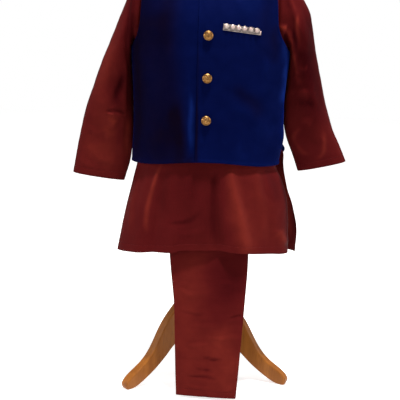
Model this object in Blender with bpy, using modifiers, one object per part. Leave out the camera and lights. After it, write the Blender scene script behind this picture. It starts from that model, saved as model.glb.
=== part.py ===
import bpy
import bmesh
import math
from mathutils import Vector

# A child's kurta, folded pyjama and velvet waistcoat on a limbless dress form with a wooden tripod.
# All sizes are millimetres: x to the viewer's right, y away from the viewer, z above the floor.
MM = 0.001
CLOTH = 1.2             # wall of the kurta and the pyjama
VELVET = 2.2            # wall of the waistcoat
SEAM = 0.3              # gap between pieces that are sewn together
LAYER = 0.95            # clearance between two layers that lie on each other
NECK_LEVEL = 889.0
KURTA_COLLAR_HEIGHT = 26.0
JACKET_COLLAR_HEIGHT = 30.0
COLLAR_OPENING = 4.0    # space between the two ends of a band collar
COLLAR_LIFT = 1.0       # start of a collar above the neckline
KURTA_HEM_FRONT = 281.0
KURTA_HEM_BACK = 265.0
JACKET_HEM = 474.0
FRONT_EDGE_X = -21.0    # free edge of the upper front, left of the buttons
UNDERLAP_X = 16.0       # hidden edge of the lower front
OVERLAP_LIFT = VELVET + 0.6
BUTTON_DIAMETER = 19.5
BUTTON_PLACES = ((0.5, 817.0), (-1.0, 733.0), (-1.0, 649.0), (-1.0, 565.0))
TRIM_START = (27.0, 744.0)
TRIM_SLOPE = math.radians(-6.2)
STONES = 6
STONE_PITCH = 12.1
STONE_RADIUS = 5.7
STONE_RISE = 3.2
TRIM_BAND = 2.4         # narrow ledge under the stones
TRIM_PLATE = 1.1
TRIM_END = 3.6          # upright piece at the right end
FORM_BASE = 470.0
FORM_TOP = 940.0
CAP_RADIUS = 47.0
POLE_RADIUS = 11.0
HUB_RADIUS = 25.0
HUB_BOTTOM = 92.0
HUB_TOP = 212.0
LEG_THICKNESS = 21.0
LEG_BEARINGS = (-52.0, 68.5, 188.5)


class Profile:
    """Smooth monotone curves through the rows of a table, read by its first column."""

    def __init__(self, columns, rows):
        self.names = columns.split()
        self.keys = [row[0] for row in rows]
        self.values = list(zip(*rows))
        self.slopes = [self.tangents(column) for column in self.values]
        self.known = {}

    def tangents(self, column):
        steps = [(column[i + 1] - column[i]) / (self.keys[i + 1] - self.keys[i])
                 for i in range(len(column) - 1)]
        inner = [2 * a * b / (a + b) if a * b > 0 else 0.0 for a, b in zip(steps, steps[1:])]
        return [steps[0]] + inner + [steps[-1]]

    def at(self, key):
        key = min(max(key, self.keys[0]), self.keys[-1])
        if key not in self.known:
            i = max(k for k in range(len(self.keys) - 1) if self.keys[k] <= key)
            width = self.keys[i + 1] - self.keys[i]
            t = (key - self.keys[i]) / width
            row = {}
            for name, column, slope in zip(self.names, self.values, self.slopes):
                row[name] = ((1 + 2 * t) * (1 - t) ** 2 * column[i] + t * t * (3 - 2 * t) * column[i + 1]
                             + width * t * (1 - t) * ((1 - t) * slope[i] - t * slope[i + 1]))
            self.known[key] = row
        return self.known[key]


# Sections of the kurta's inner side. Half widths to the viewer's left and right, depths to the front
# and back of the centre, the power of the rounded outline, how far the front and back of the ring hang
# below its sides, and how far the slit's edge stands off the side.
SECTION = 'level left right front back centre power front_drop back_drop slit'
TORSO = (
    (512, 143, 147, 89, 82, 0, 2.3, 0, 0, 0),
    (560, 143, 148, 86, 80, 0, 2.3, 0, 0, 0),
    (620, 144, 149, 84, 79, 0, 2.3, 0, 0, 0),
    (680, 146, 150, 83, 79, 0, 2.3, 0, 0, 0),
    (716, 147.5, 150, 82, 80, 0, 2.3, 2, 0, 0),
    (740, 149, 151, 82, 80, 0, 2.3, 5, -1, 0),
    (780, 152, 153, 79, 79, 1, 2.3, 12, -3, 0),
    (820, 153, 153, 71, 75, 2, 2.3, 24, -6, 0),
    (850, 150, 150, 60, 67, 3, 2.3, 37, -8, 0),
    (859, 139.5, 139.5, 57, 63.5, 4, 2.3, 41, -8.6, 0),
    (863, 130, 130, 55.5, 61, 4, 2.3, 42.4, -9, 0),
    (869, 113, 113, 52.5, 57, 4, 2.25, 44, -9.5, 0),
    (875, 94, 94, 50, 53.5, 4, 2.2, 45.4, -9.8, 0),
    (881, 75, 75, 48, 50.5, 4, 2.1, 46.6, -9.6, 0),
    (885, 63.5, 63.5, 47, 48.8, 4, 2.05, 47.4, -9, 0),
    (889, 55.5, 55.5, 46.4, 47.6, 4, 2.0, 48, -8, 0),
    (894, 50.5, 50.5, 45.8, 46.4, 4, 2.0, 48, -6.5, 0),
    (901, 48.2, 48.2, 45.2, 45.4, 4, 2.0, 47, -4.5, 0),
    (912, 47, 47, 44.8, 44.8, 4, 2.0, 44, -2, 0),
    (925, 46.6, 46.6, 44.6, 44.6, 4, 2.0, 38, 0, 0),
    (940, 46.6, 46.6, 44.6, 44.6, 4, 2.0, 30, 0, 0))
SKIRT_FRONT = (
    (281, 184, 182, 100, 80, -20, 2.3, -15, 0, 26),
    (342, 173, 181, 96, 80, -15, 2.3, -10, 0, 24),
    (391, 162, 176, 93, 80, -11, 2.3, -4, 0, 21),
    (434, 151, 163, 92, 80, -7, 2.3, 0, 0, 16),
    (466, 143, 148, 91, 80, -4, 2.3, 0, 0, 9),
    (490, 142, 145, 90, 80, -1, 2.3, 0, 0, 4))
SKIRT_BACK = (
    (265, 182, 210, 80, 86, 20, 2.3, 0, 0, 26),
    (306, 178, 212, 80, 85, 18, 2.3, 0, 0, 26),
    (365, 170, 201, 80, 84, 14, 2.3, 0, 0, 25),
    (410, 160, 184, 80, 83, 9, 2.3, 0, 0, 24),
    (463, 147, 171, 80, 82, 4, 2.3, 0, 0, 20),
    (490, 144, 166, 80, 82, 1, 2.3, 0, 0, 10))
KURTA_FRONT = Profile(SECTION, SKIRT_FRONT + TORSO)
KURTA_BACK = Profile(SECTION, SKIRT_BACK + TORSO)

# Broad folds of the kurta's skirt: place along the width at the hem and where they start, height of the
# start, half width and rise outwards.
FOLD_COLUMNS = 'hem_x top_x top_level half rise'.split()
FRONT_FOLDS = (
    (-135, -118, 470, 16, 5.0),
    (-104, -82, 472, 11, -4.0),
    (-60, -45, 430, 24, 4.5),
    (30, 21, 476, 13, -5.0),
    (72, 46, 478, 26, 13.0),
    (142, 118, 440, 18, -4.0))
BACK_FOLDS = (
    (-120, -96, 455, 20, 6.0),
    (-62, -50, 470, 14, -5.0),
    (-4, 2, 440, 24, 6.0),
    (66, 52, 470, 15, -6.0),
    (128, 104, 450, 26, 6.0))
# The front hem isn't level: how far it lies above the ring, by the distance from the middle.
HEM_LIFT = Profile('x lift', ((-184, 1), (-66, 0.5), (-46, 5.5), (40, 6), (72, 5.5), (104, 3), (182, 3)))
HEM_LIFT_REACH = 64.0

# How far the waistcoat stands off the kurta's outer side, and how wide its side vents spread.
EASE = Profile('level left right left_back right_back front back front_vent back_vent', (
    (474, 10, 6, 9, 9, 5, 6, 20, 52),
    (490, 9, 8.5, 9, 10, 5, 6, 9, 32),
    (512, 7, 11.5, 7, 11.5, 5, 6, 0, 0),
    (528, 6.5, 13, 6.5, 13, 5, 6, 0, 0),
    (560, 6, 10, 6, 10, 5, 5, 0, 0),
    (590, 6.3, 9.5, 6.3, 9.5, 5, 5, 0, 0),
    (630, 6.8, 11, 6.8, 11, 5, 5, 0, 0),
    (690, 7.5, 14.5, 7.5, 14.5, 5, 5, 0, 0),
    (716, 7.5, 15, 7.5, 15, 4, 4, 0, 0),
    (735, 6.5, 11, 6.5, 11, 3.5, 3.5, 0, 0),
    (760, 4.5, 5.5, 4.5, 5.5, 2.5, 3, 0, 0),
    (798, 2, 3, 2, 3, 1, 1.5, 0, 0),
    (838, 0, 0, 0, 0, 0, 0, 0, 0),
    (940, 0, 0, 0, 0, 0, 0, 0, 0)))
KURTA_ARMHOLE = Profile('level x', (
    (716, 150), (719, 147), (726, 143.5), (738, 141), (755, 139.8), (775, 139.5), (859, 139.5)))
# The waistcoat's hem hangs lowest at the sides: its drop there, and its lift over that at the front centre.
JACKET_SAG = 4.5
JACKET_ARCH = 10.0
SAG_TOP = 545.0
JACKET_ARMHOLE = Profile('level x', (
    (702, 150), (706, 147), (714, 143), (726, 138.5), (740, 135.5), (760, 134), (861.4, 134)))
ARMHOLE_LEVELS = (716, 719, 726, 738, 755, 775, 798, 820, 838, 850, 856, 859)
SHOULDER_LEVELS = (861.4, 864, 867, 871, 876, 882, NECK_LEVEL)
SKIRT_LEVELS = (312, 345, 380, 412, 442, 466, 490, 512)
CHEST_LEVELS = (565, 630, 690)
JACKET_LEVELS = ((JACKET_HEM, 490, 512) + CHEST_LEVELS + (702, 707, 715) + ARMHOLE_LEVELS[2:]
                 + (860.3, 861) + SHOULDER_LEVELS)
FRONT_COLUMNS = 6       # steps from the centre to the last line that the kurta and waistcoat share
BACK_COLUMNS = 6


def section_point(row, phi):
    """Point of a ring: phi 0 is the front centre, 90 degrees the viewer's right."""
    s, c = math.sin(phi), math.cos(phi)
    half = row['right'] if s > 0 else row['left']
    depth, drop = (row['front'], row['front_drop']) if c > 0 else (row['back'], row['back_drop'])
    power = 2 / row['power']
    return Vector((math.copysign(half * abs(s) ** power, s),
                   row['centre'] - math.copysign(depth * abs(c) ** power, c),
                   row['level'] - drop * c * c))


def fold_rise(folds, level, x, hem):
    """Outward rise of the skirt's folds, which die out towards their upper ends."""
    total = 0.0
    for fold in folds:
        f = dict(zip(FOLD_COLUMNS, fold))
        share = (f['top_level'] - level) / (f['top_level'] - hem)
        if share > 0:
            middle = f['top_x'] + (f['hem_x'] - f['top_x']) * share
            reach = f['half'] * (0.6 + 0.4 * share)
            total += f['rise'] * min(share * 1.6, 1.0) ** 1.3 * math.exp(-((x - middle) / reach) ** 2)
    return total


def kurta(level, phi):
    if math.cos(phi) > 0:
        p = section_point(KURTA_FRONT.at(level), phi)
        rise = fold_rise(FRONT_FOLDS, level, p.x, KURTA_HEM_FRONT)
        share = max(1 - (level - KURTA_HEM_FRONT) / HEM_LIFT_REACH, 0.0)
        return p + Vector((0, -rise, HEM_LIFT.at(p.x)['lift'] * share))
    p = section_point(KURTA_BACK.at(level), phi)
    return p + Vector((0, fold_rise(BACK_FOLDS, level, p.x, KURTA_HEM_BACK), 0))


def normal(surface, level, phi):
    across = surface(level, phi + 0.004) - surface(level, phi - 0.004)
    up = surface(level + 0.5, phi) - surface(level - 0.5, phi)
    return across.cross(up).normalized()


def jacket(level, phi):
    """Inner side of the waistcoat: the kurta's outer side with clearance and ease."""
    s, c = math.sin(phi), math.cos(phi)
    ease = EASE.at(level)
    side = ease['right' if c > 0 else 'right_back'] if s > 0 else -ease['left' if c > 0 else 'left_back']
    depth = -ease['front'] if c > 0 else ease['back']
    p = plain_kurta(level, phi) + normal(plain_kurta, level, phi) * (CLOTH + LAYER)
    share = min(max((SAG_TOP - level) / (SAG_TOP - JACKET_HEM), 0.0), 1.0)
    sag = JACKET_ARCH * max(c, 0.0) ** 6 - JACKET_SAG
    return p + Vector((side * s * s, depth * c * c, sag * share * share))


def plain_kurta(level, phi):
    """The kurta without its skirt's folds, whose tops the waistcoat smooths over."""
    return section_point((KURTA_FRONT if math.cos(phi) > 0 else KURTA_BACK).at(level), phi)


def jacket_over(level, phi):
    """The upper front rises over the lower front near the buttons."""
    p = jacket(level, phi)
    share = min(max((62 - p.x) / 42, 0.0), 1.0)
    return p + normal(jacket, level, phi) * OVERLAP_LIFT * share * share * (3 - 2 * share)


def form(level, phi):
    """The dress form's shoulders and neck, just inside the kurta."""
    inset = LAYER + 0.25 + 2.6 * min(max((level - 885) / 16, 0.0), 1.0)
    return kurta(level, phi) - normal(kurta, level, phi) * inset


def angle_at_x(table, level, x):
    """Angle of the front half's point whose distance from the middle is x."""
    row = table.at(level)
    half = row['right'] if x > 0 else row['left']
    share = min(abs(x) / half, 1.0)
    return math.copysign(math.asin(share ** (row['power'] / 2)), x)


def angle_at_depth(row, depth_name, depth):
    """Angle from the front or back centre to where the ring is that far from its centre plane."""
    return math.acos(min(depth / row[depth_name], 1.0) ** (row['power'] / 2))


def side_end(front, armhole, level, side, slit, inset=0.0):
    """Angle from the centre to a panel's side: at the armhole's edge, else at the side seam or the slit."""
    table, depth_name = (KURTA_FRONT, 'front') if front else (KURTA_BACK, 'back')
    end = angle_at_depth(table.at(level), depth_name, max(slit, SEAM / 2)) - inset * 0.02
    if armhole.keys[0] < level < armhole.keys[-1]:
        end = min(end, abs(angle_at_x(table, level, side * (armhole.at(level)['x'] - inset))))
    return end


def kurta_end(front, level, side):
    slit = (KURTA_FRONT if front else KURTA_BACK).at(level)['slit'] if level < 512 else 0.0
    return side_end(front, KURTA_ARMHOLE, level, side, slit)


def jacket_end(front, level, side, inset=0.0):
    slit = EASE.at(level)['front_vent' if front else 'back_vent'] if level < 512 else 0.0
    return side_end(front, JACKET_ARMHOLE, level, side, slit, inset)


def shared_angles(front, level, side):
    """Lines from the centre towards a side, at the same angles on the kurta and the waistcoat."""
    last = min(jacket_end(front, level, side, 5.0), kurta_end(front, level, side) - 0.06)
    if not front:
        return [last * k / BACK_COLUMNS for k in range(1, BACK_COLUMNS + 1)]
    first = abs(angle_at_x(KURTA_FRONT, level, side * (UNDERLAP_X + 2)))
    return [first + (last - first) * k / (FRONT_COLUMNS - 1) for k in range(FRONT_COLUMNS)]


def whole_angles(front, own_end, level):
    """Angles of a whole panel from the viewer's left to the right, or round the back from the right."""
    left = [-phi for phi in shared_angles(front, level, -1)] + [-own_end(front, level, -1)]
    right = shared_angles(front, level, 1) + [own_end(front, level, 1)]
    if front:
        return left[::-1] + [0.0] + right
    return [math.pi - phi for phi in right[::-1]] + [math.pi] + [math.pi - phi for phi in left]


def under_angles(level):
    edge = angle_at_x(KURTA_FRONT, level, UNDERLAP_X)
    return whole_angles(True, jacket_end, level)[:FRONT_COLUMNS + 2] + [edge]


def over_angles(level):
    edge = angle_at_x(KURTA_FRONT, level, FRONT_EDGE_X)
    return [edge, edge / 2] + whole_angles(True, jacket_end, level)[FRONT_COLUMNS + 1:]


def wall_points(surface, wall, levels, angles):
    inner, outer = [], []
    for level in levels:
        inner.append([surface(level, phi) for phi in angles(level)])
        outer.append([p + normal(surface, level, phi) * wall for p, phi in zip(inner[-1], angles(level))])
    return inner, outer


def principled(name, colour, roughness, metallic=0.0):
    material = bpy.data.materials.new(name)
    material.use_nodes = True
    shader = material.node_tree.nodes['Principled BSDF']
    shader.inputs['Base Color'].default_value = (*colour, 1.0)
    shader.inputs['Roughness'].default_value = roughness
    shader.inputs['Metallic'].default_value = metallic
    material.diffuse_color = (*colour, 1.0)
    return material


def add_object(name, data, look):
    item = bpy.data.objects.new(name, data)
    collection.objects.link(item)
    item.parent = stand_point
    data.materials.append(look)
    return item


def mesh_object(name, points, faces, look, smooth=True):
    mesh = bpy.data.meshes.new(name)
    mesh.from_pydata([p * MM for p in points], [], faces)
    shape = bmesh.new()
    shape.from_mesh(mesh)
    bmesh.ops.recalc_face_normals(shape, faces=shape.faces)
    shape.to_mesh(mesh)
    shape.free()
    if smooth:
        mesh.shade_smooth()
        mesh.set_sharp_from_angle(angle=math.radians(40))
    return add_object(name, mesh, look)


def cloth_solid(name, inner, outer, look, closed=False):
    """A wall between two grids of points, closed along its edges; a tube's columns join up."""
    rows, columns = len(inner), len(inner[0])
    points = [p for grid in (inner, outer) for row in grid for p in row]

    def at(side, i, j):
        return (side * rows + i) * columns + j % columns

    last = columns if closed else columns - 1
    faces = [(at(side, i, j), at(side, i, j + 1), at(side, i + 1, j + 1), at(side, i + 1, j))
             for side in (0, 1) for i in range(rows - 1) for j in range(last)]
    faces += [(at(0, i, j), at(0, i, j + 1), at(1, i, j + 1), at(1, i, j))
              for i in (0, rows - 1) for j in range(last)]
    if not closed:
        faces += [(at(0, i, j), at(0, i + 1, j), at(1, i + 1, j), at(1, i, j))
                  for j in (0, columns - 1) for i in range(rows - 1)]
    return mesh_object(name, points, faces, look)


def ring_solid(name, rings, look):
    """A filled body through closed rings of points."""
    count = len(rings[0])
    points = [p for ring in rings for p in ring]
    faces = [(i * count + j, i * count + (j + 1) % count, (i + 1) * count + (j + 1) % count, (i + 1) * count + j)
             for i in range(len(rings) - 1) for j in range(count)]
    faces += [tuple(range(count)), tuple(range((len(rings) - 1) * count, len(rings) * count))]
    return mesh_object(name, points, faces, look)


def turned_solid(name, profile, steps, look):
    """A profile of radius and height, outer side from top to bottom, turned about the z axis."""
    mesh = bpy.data.meshes.new(name)
    points = [(r * MM, 0, z * MM) for r, z in profile]
    mesh.from_pydata(points, [(i, i + 1) for i in range(len(points) - 1)], [])
    item = add_object(name, mesh, look)
    screw = item.modifiers.new('turn', 'SCREW')
    screw.steps = screw.render_steps = steps
    screw.use_merge_vertices = True
    screw.merge_threshold = 0.00001
    screw.use_smooth_shade = True
    return item


def place_on_panel(surface, wall, table, x, z):
    """Outer point and normal of a front where it lies at x and z."""
    level, phi = z, 0.0
    for _ in range(30):
        phi = phi + (x - surface(level, phi).x) / 160
        level = level + (z - surface(level, phi).z)
    n = normal(surface, level, phi)
    return surface(level, phi) + n * wall, n


# The old scene is cleared, and everything hangs on one point under the middle of the stand.
for item in list(bpy.data.objects):
    bpy.data.objects.remove(item, do_unlink=True)
collection = bpy.data.collections.new('kurta_pyjama_with_jacket')
bpy.context.scene.collection.children.link(collection)
stand_point = bpy.data.objects.new('stand_point', None)
collection.objects.link(stand_point)

silk = principled('maroon_silk', (0.105, 0.012, 0.010), 0.45)
velvet = principled('blue_velvet', (0.003, 0.008, 0.085), 0.75)
gold = principled('antique_gold', (0.45, 0.24, 0.07), 0.35, 1.0)
crystal = principled('crystal_trim', (0.72, 0.62, 0.58), 0.2)
jersey = principled('form_cover', (0.72, 0.69, 0.62), 0.8)
wood = principled('oiled_wood', (0.50, 0.25, 0.075), 0.45)

# Kurta: front and back with side slits.
body_levels = SKIRT_LEVELS + CHEST_LEVELS + ARMHOLE_LEVELS + SHOULDER_LEVELS
cloth_solid('kurta_front', *wall_points(
    kurta, CLOTH, (KURTA_HEM_FRONT,) + body_levels, lambda level: whole_angles(True, kurta_end, level)), silk)
cloth_solid('kurta_back', *wall_points(
    kurta, CLOTH, (KURTA_HEM_BACK,) + body_levels, lambda level: whole_angles(False, kurta_end, level)), silk)

# Kurta's sleeves: the outer and inner lines seen from the front, half thickness, depth of the middle
# and how much of the armhole's own outline is left.
SLEEVE = 'ring outer_x outer_z inner_x inner_z half centre keep'
SLEEVES = {
    'kurta_sleeve_left': (1, Profile(SLEEVE, (
        (0, 139.8, 859, 150.0, 716.3, 40, 2, 1.0),
        (1, 153, 854, 153.5, 717.6, 42, 2, 0.72),
        (2, 172, 838, 158.0, 715.6, 42, 3, 0.42),
        (3, 192, 811, 165.4, 711.5, 42, 4, 0.2),
        (4, 208, 783, 170.8, 706, 41, 5, 0.06),
        (5, 215, 754, 171.0, 691, 38, 7, 0),
        (6, 221, 722, 169.8, 668, 34, 9, 0),
        (7, 229, 684, 167.8, 640, 31, 11, 0),
        (8, 241, 634, 165.6, 605, 28, 13, 0),
        (9, 254, 585, 167.5, 562, 25, 15, 0),
        (10, 268, 545, 176, 520, 22, 17, 0),
        (11, 284, 510, 188.5, 484, 19, 19, 0),
        (12, 301, 473, 201, 451, 16, 20, 0)))),
    'kurta_sleeve_right': (-1, Profile(SLEEVE, (
        (0, 139.8, 859, 147.5, 716.3, 40, 2, 1.0),
        (1, 149, 851, 151.5, 717.6, 42, 2, 0.72),
        (2, 158, 833, 156.0, 715.6, 42, 3, 0.42),
        (3, 168, 806, 160.2, 711, 42, 4, 0.2),
        (4, 181, 774, 161.6, 703, 41, 5, 0.06),
        (5, 193, 744, 160.6, 690, 38, 7, 0),
        (6, 206, 711, 159.4, 668, 34, 9, 0),
        (7, 222, 671, 157.8, 640, 31, 11, 0),
        (8, 238, 625, 156.4, 605, 28, 13, 0),
        (9, 254, 580, 155.6, 562, 25, 15, 0),
        (10, 265, 532, 156.4, 520, 22, 17, 0),
        (11, 275, 482, 160.5, 472, 19, 19, 0),
        (12, 283, 435, 175, 421, 16, 20, 0))))}

# The sleeves' broad folds: ring, share of the turn from the outer line over the front to the inner line
# and back, reach along and round the sleeve, and rise outwards.
SLEEVE_FOLD_COLUMNS = 'ring turn length width rise'.split()
SLEEVE_FOLDS = {
    'kurta_sleeve_left': (
        (5.2, 0.44, 1.6, 0.13, 5.0), (6.4, 0.66, 1.7, 0.12, -4.5), (8.6, 0.36, 1.4, 0.14, 4.0),
        (9.6, 0.62, 1.0, 0.14, -4.0), (8.0, 1.5, 1.6, 0.16, -4.5), (6.6, 1.28, 1.8, 0.15, 4.5)),
    'kurta_sleeve_right': (
        (5.6, 0.40, 2.0, 0.14, 4.5), (7.6, 0.60, 0.9, 0.20, -5.5), (8.9, 0.52, 0.9, 0.18, 4.0),
        (9.9, 0.36, 1.0, 0.16, -3.5), (7.8, 1.46, 1.3, 0.17, -5.0), (9.2, 1.56, 1.2, 0.18, 4.5))}


def armhole_ring(side):
    """Seam points on the kurta's armhole from its top down the front and up the back, shifted by the seam."""
    levels = sorted(ARMHOLE_LEVELS, reverse=True)
    places = [(levels[0], math.pi / 2 * side)]
    places += [(z, side * kurta_end(True, z, side)) for z in levels[1:-1]]
    places += [(levels[-1], math.pi / 2 * side)]
    places += [(z, math.pi - side * kurta_end(False, z, side)) for z in reversed(levels[1:-1])]
    inner = [kurta(z, phi) for z, phi in places]
    normals = [normal(kurta, z, phi) for z, phi in places]
    count = len(places)
    shift = []
    for k in range(count):
        along = (inner[(k + 1) % count] - inner[k - 1]).normalized()
        away = along.cross(normals[k]).normalized()
        shift.append(away * SEAM if away.dot(Vector((side, 0, 0.35))) > 0 else -away * SEAM)
    outer = [p + n * CLOTH + s for p, n, s in zip(inner, normals, shift)]
    return [p + s for p, s in zip(inner, shift)], outer


def sleeve_rise(folds, ring, turn):
    total = 0.0
    for fold in folds:
        f = dict(zip(SLEEVE_FOLD_COLUMNS, fold))
        total += f['rise'] * math.exp(-((ring - f['ring']) / f['length']) ** 2
                                      - ((turn - f['turn']) / f['width']) ** 2)
    return total


def sleeve_grids(side, lines, folds):
    seam_inner, seam_outer = armhole_ring(side)
    count = len(seam_inner)
    half_count = count // 2
    lengths = [0.0]
    for k in range(count):
        lengths.append(lengths[-1] + (seam_inner[(k + 1) % count] - seam_inner[k]).length)
    front, back = lengths[half_count], lengths[-1] - lengths[half_count]

    def seam_share(k):
        return lengths[k] / front if k <= half_count else 1 + (lengths[k] - front) / back

    def ring_point(row, share):
        turn = math.pi * share
        top = Vector((side * row['outer_x'], row['centre'], row['outer_z']))
        bottom = Vector((side * row['inner_x'], row['centre'], row['inner_z']))
        middle, reach = (top + bottom) / 2, (top - bottom) / 2
        rise = sleeve_rise(folds, row['ring'], share) * math.copysign(1, math.sin(turn))
        return middle + reach * math.cos(turn) - Vector((0, row['half'] * math.sin(turn) + rise, 0))

    start = lines.at(0)
    inner = []
    for ring in range(13):
        row = lines.at(ring)
        points = []
        for k in range(count):
            share = seam_share(k) * row['keep'] + k / half_count * (1 - row['keep'])
            own = seam_inner[k] - ring_point(start, seam_share(k))
            points.append(ring_point(row, share) + own * row['keep'])
        inner.append(points)
    outer = [seam_outer]
    for i in range(1, len(inner)):
        below = inner[min(i + 1, len(inner) - 1)]
        centre = sum(inner[i], Vector()) / count
        ring = []
        for k, p in enumerate(inner[i]):
            out = (inner[i][(k + 1) % count] - inner[i][k - 1]).cross(below[k] - inner[i - 1][k]).normalized()
            ring.append(p + out * (CLOTH if out.dot(p - centre) > 0 else -CLOTH))
        outer.append(ring)
    return inner, outer


for name, (side, lines) in SLEEVES.items():
    cloth_solid(name, *sleeve_grids(side, lines, SLEEVE_FOLDS[name]), silk, closed=True)


# Band collars on the two necklines, open at the front.
def collar(name, surface, wall, height, look):
    opening = COLLAR_OPENING / 2 / 46
    front = whole_angles(True, kurta_end, NECK_LEVEL)
    turn = [opening] + [phi for phi in front if phi > 2 * opening] + whole_angles(False, kurta_end, NECK_LEVEL)
    turn += [phi + 2 * math.pi for phi in front if phi < -2 * opening] + [2 * math.pi - opening]
    levels = [NECK_LEVEL + COLLAR_LIFT + height * share for share in (0, 0.2, 0.45, 0.72, 1)]
    cloth_solid(name, *wall_points(surface, wall, levels, lambda level: turn), look)


collar('kurta_collar', kurta, CLOTH, KURTA_COLLAR_HEIGHT, silk)
collar('jacket_collar', jacket, VELVET, JACKET_COLLAR_HEIGHT, velvet)

# Waistcoat: the lower front, the upper front with the buttons, and the back.
cloth_solid('jacket_front_right', *wall_points(jacket, VELVET, JACKET_LEVELS, under_angles), velvet)
cloth_solid('jacket_front_left', *wall_points(jacket_over, VELVET, JACKET_LEVELS, over_angles), velvet)
cloth_solid('jacket_back', *wall_points(
    jacket, VELVET, JACKET_LEVELS, lambda level: whole_angles(False, jacket_end, level)), velvet)

# Domed metal buttons on short shanks.
button_radius = BUTTON_DIAMETER / 2
button_profile = (
    (0, 7.4), (0.42 * button_radius, 6.9), (0.74 * button_radius, 5.5), (0.95 * button_radius, 3.4),
    (button_radius, 2.3), (0.93 * button_radius, 1.5), (3.2, 1.4), (3.0, 0), (0, 0))
for number, (x, z) in enumerate(BUTTON_PLACES, 1):
    seat, out = place_on_panel(jacket_over, VELVET, KURTA_FRONT, x, z)
    button = turned_solid(f'jacket_button_{number}', button_profile, 16, gold)
    button.location = (seat + out * SEAM) * MM
    button.rotation_euler = out.to_track_quat('Z', 'Y').to_euler()

# Stone trim along the chest pocket's mouth, raised over a plain back that follows the panel.
trim_length = STONES * STONE_PITCH + TRIM_END
trim_steps = 4
stations = [STONE_PITCH * k / trim_steps for k in range(STONES * trim_steps + 1)] + [trim_length - 2.4, trim_length]
trim_rows = (0.0, 0.18, 0.26, 0.5, 0.76, 1.0)
trim_inner, trim_outer = [[] for _ in trim_rows], [[] for _ in trim_rows]
for s in stations:
    off = (s % STONE_PITCH) - STONE_PITCH / 2 if s < STONES * STONE_PITCH else STONE_PITCH
    edge = math.sqrt(max(1 - (off / STONE_RADIUS) ** 2, 0.0))
    top = TRIM_BAND + STONE_RADIUS * (1.05 + 0.9 * edge)
    for i, share in enumerate(trim_rows):
        w = top * share
        x = TRIM_START[0] + s * math.cos(TRIM_SLOPE) - w * math.sin(TRIM_SLOPE)
        z = TRIM_START[1] + s * math.sin(TRIM_SLOPE) + w * math.cos(TRIM_SLOPE)
        seat, out = place_on_panel(jacket_over, VELVET, KURTA_FRONT, x, z)
        reach = math.hypot(off, w - TRIM_BAND - STONE_RADIUS) / STONE_RADIUS
        rise = STONE_RISE * math.sqrt(max(1 - reach * reach, 0.0))
        if w < TRIM_BAND or s > STONES * STONE_PITCH:
            rise = 0.7
        trim_inner[i].append(seat + out * SEAM)
        trim_outer[i].append(seat + out * (SEAM + TRIM_PLATE + rise))
cloth_solid('jacket_pocket_trim', trim_inner, trim_outer, crystal)

# Pyjama folded lengthwise, one leg on the other: each leg is a flattened tube.
PYJAMA = Profile('level left right half centre bow swing', (
    (5, -47, 73, 1.9, -163, 1, -7),
    (40, -49, 76, 1.8, -157, 1, -6),
    (110, -52, 81, 1.7, -145, 1, -4),
    (180, -55, 86, 1.7, -132, 2, -2),
    (290, -67, 92, 1.6, -111, 4, 0),
    (380, -72, 92, 1.5, -98, 6, 0),
    (470, -70, 86, 1.5, -86, 9, 0),
    (520, -66, 78, 1.4, -79, 11, 0),
    (575, -62, 66, 1.4, -74.5, 12, 0),
    (600, -62, 66, 1.4, -73.5, 12, 0)))
PYJAMA_LEVELS = (55, 110, 170, 230, 290, 360, 430, 505, 574.7)
PYJAMA_TURN = 14


def pyjama_ring(level, behind, narrow, extra):
    row = PYJAMA.at(level)
    middle, half = (row['left'] + row['right']) / 2, (row['right'] - row['left']) / 2 - narrow + extra
    ring = []
    for k in range(PYJAMA_TURN):
        turn = 2 * math.pi * k / PYJAMA_TURN
        s, c = math.sin(turn), math.cos(turn)
        across = math.copysign(abs(s) ** 0.8, s)
        deep = (row['half'] + extra) * math.copysign(abs(c) ** 0.8, c)
        depth = row['centre'] + behind - deep + row['bow'] * across ** 2 + row['swing'] * across
        ring.append(Vector((middle + half * across, depth, level)))
    return ring


def pyjama_tube(name, levels, behind, narrow, wall):
    cloth_solid(name, [pyjama_ring(z, behind, narrow, 0) for z in levels],
                [pyjama_ring(z, behind, narrow, wall) for z in levels], silk, closed=True)


leg_pitch = 7.4
pyjama_tube('pyjama_leg_front', (5,) + PYJAMA_LEVELS, 0, 0, CLOTH)
pyjama_tube('pyjama_leg_back', (7,) + PYJAMA_LEVELS, leg_pitch, 2.0, CLOTH)
pyjama_tube('pyjama_waistband', (575, 587, 600), leg_pitch / 2, 0.5, 3.0)

# Dress form: own rings below the arms, then the kurta's own shape just inside it.
FORM = Profile(SECTION, (
    (470, 92, 92, 60, 68, 2, 2.2, 0, 0, 0),
    (480, 98, 98, 62, 72, 2, 2.2, 0, 0, 0),
    (540, 103, 103, 64.2, 75, 2, 2.2, 0, 0, 0),
    (600, 97, 97, 64.5, 68, 0, 2.2, 0, 0, 0),
    (680, 103, 103, 74, 72, 0, 2.2, 1, 0, 0),
    (740, 111, 111, 78, 75, 0, 2.2, 5, -1, 0),
    (780, 118, 118, 76, 75, 1, 2.2, 12, -3, 0),
    (820, 124, 124, 68.5, 72, 2, 2.2, 24, -6, 0),
    (840, 127, 127, 60, 66.5, 3, 2.25, 33.5, -7.6, 0),
    (851, 128.3, 128.3, 54, 61, 4, 2.3, 41, -6.6, 0)))
form_count = 24
form_angles = [2 * math.pi * k / form_count for k in range(form_count)]
form_rings = [[section_point(FORM.at(level), phi) for phi in form_angles]
              for level in (FORM_BASE, 480, 510, 540, 600, 640, 680, 710, 740, 780, 805, 825, 840, 851)]
form_rings += [[form(level, phi) for phi in form_angles]
               for level in (864, 870, 876, 882, 889, 894, 901, 912, 925)]
form_rings.append([Vector((p.x, p.y, FORM_TOP)) for p in form_rings[-1]])
ring_solid('form_torso', form_rings, jersey)

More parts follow.
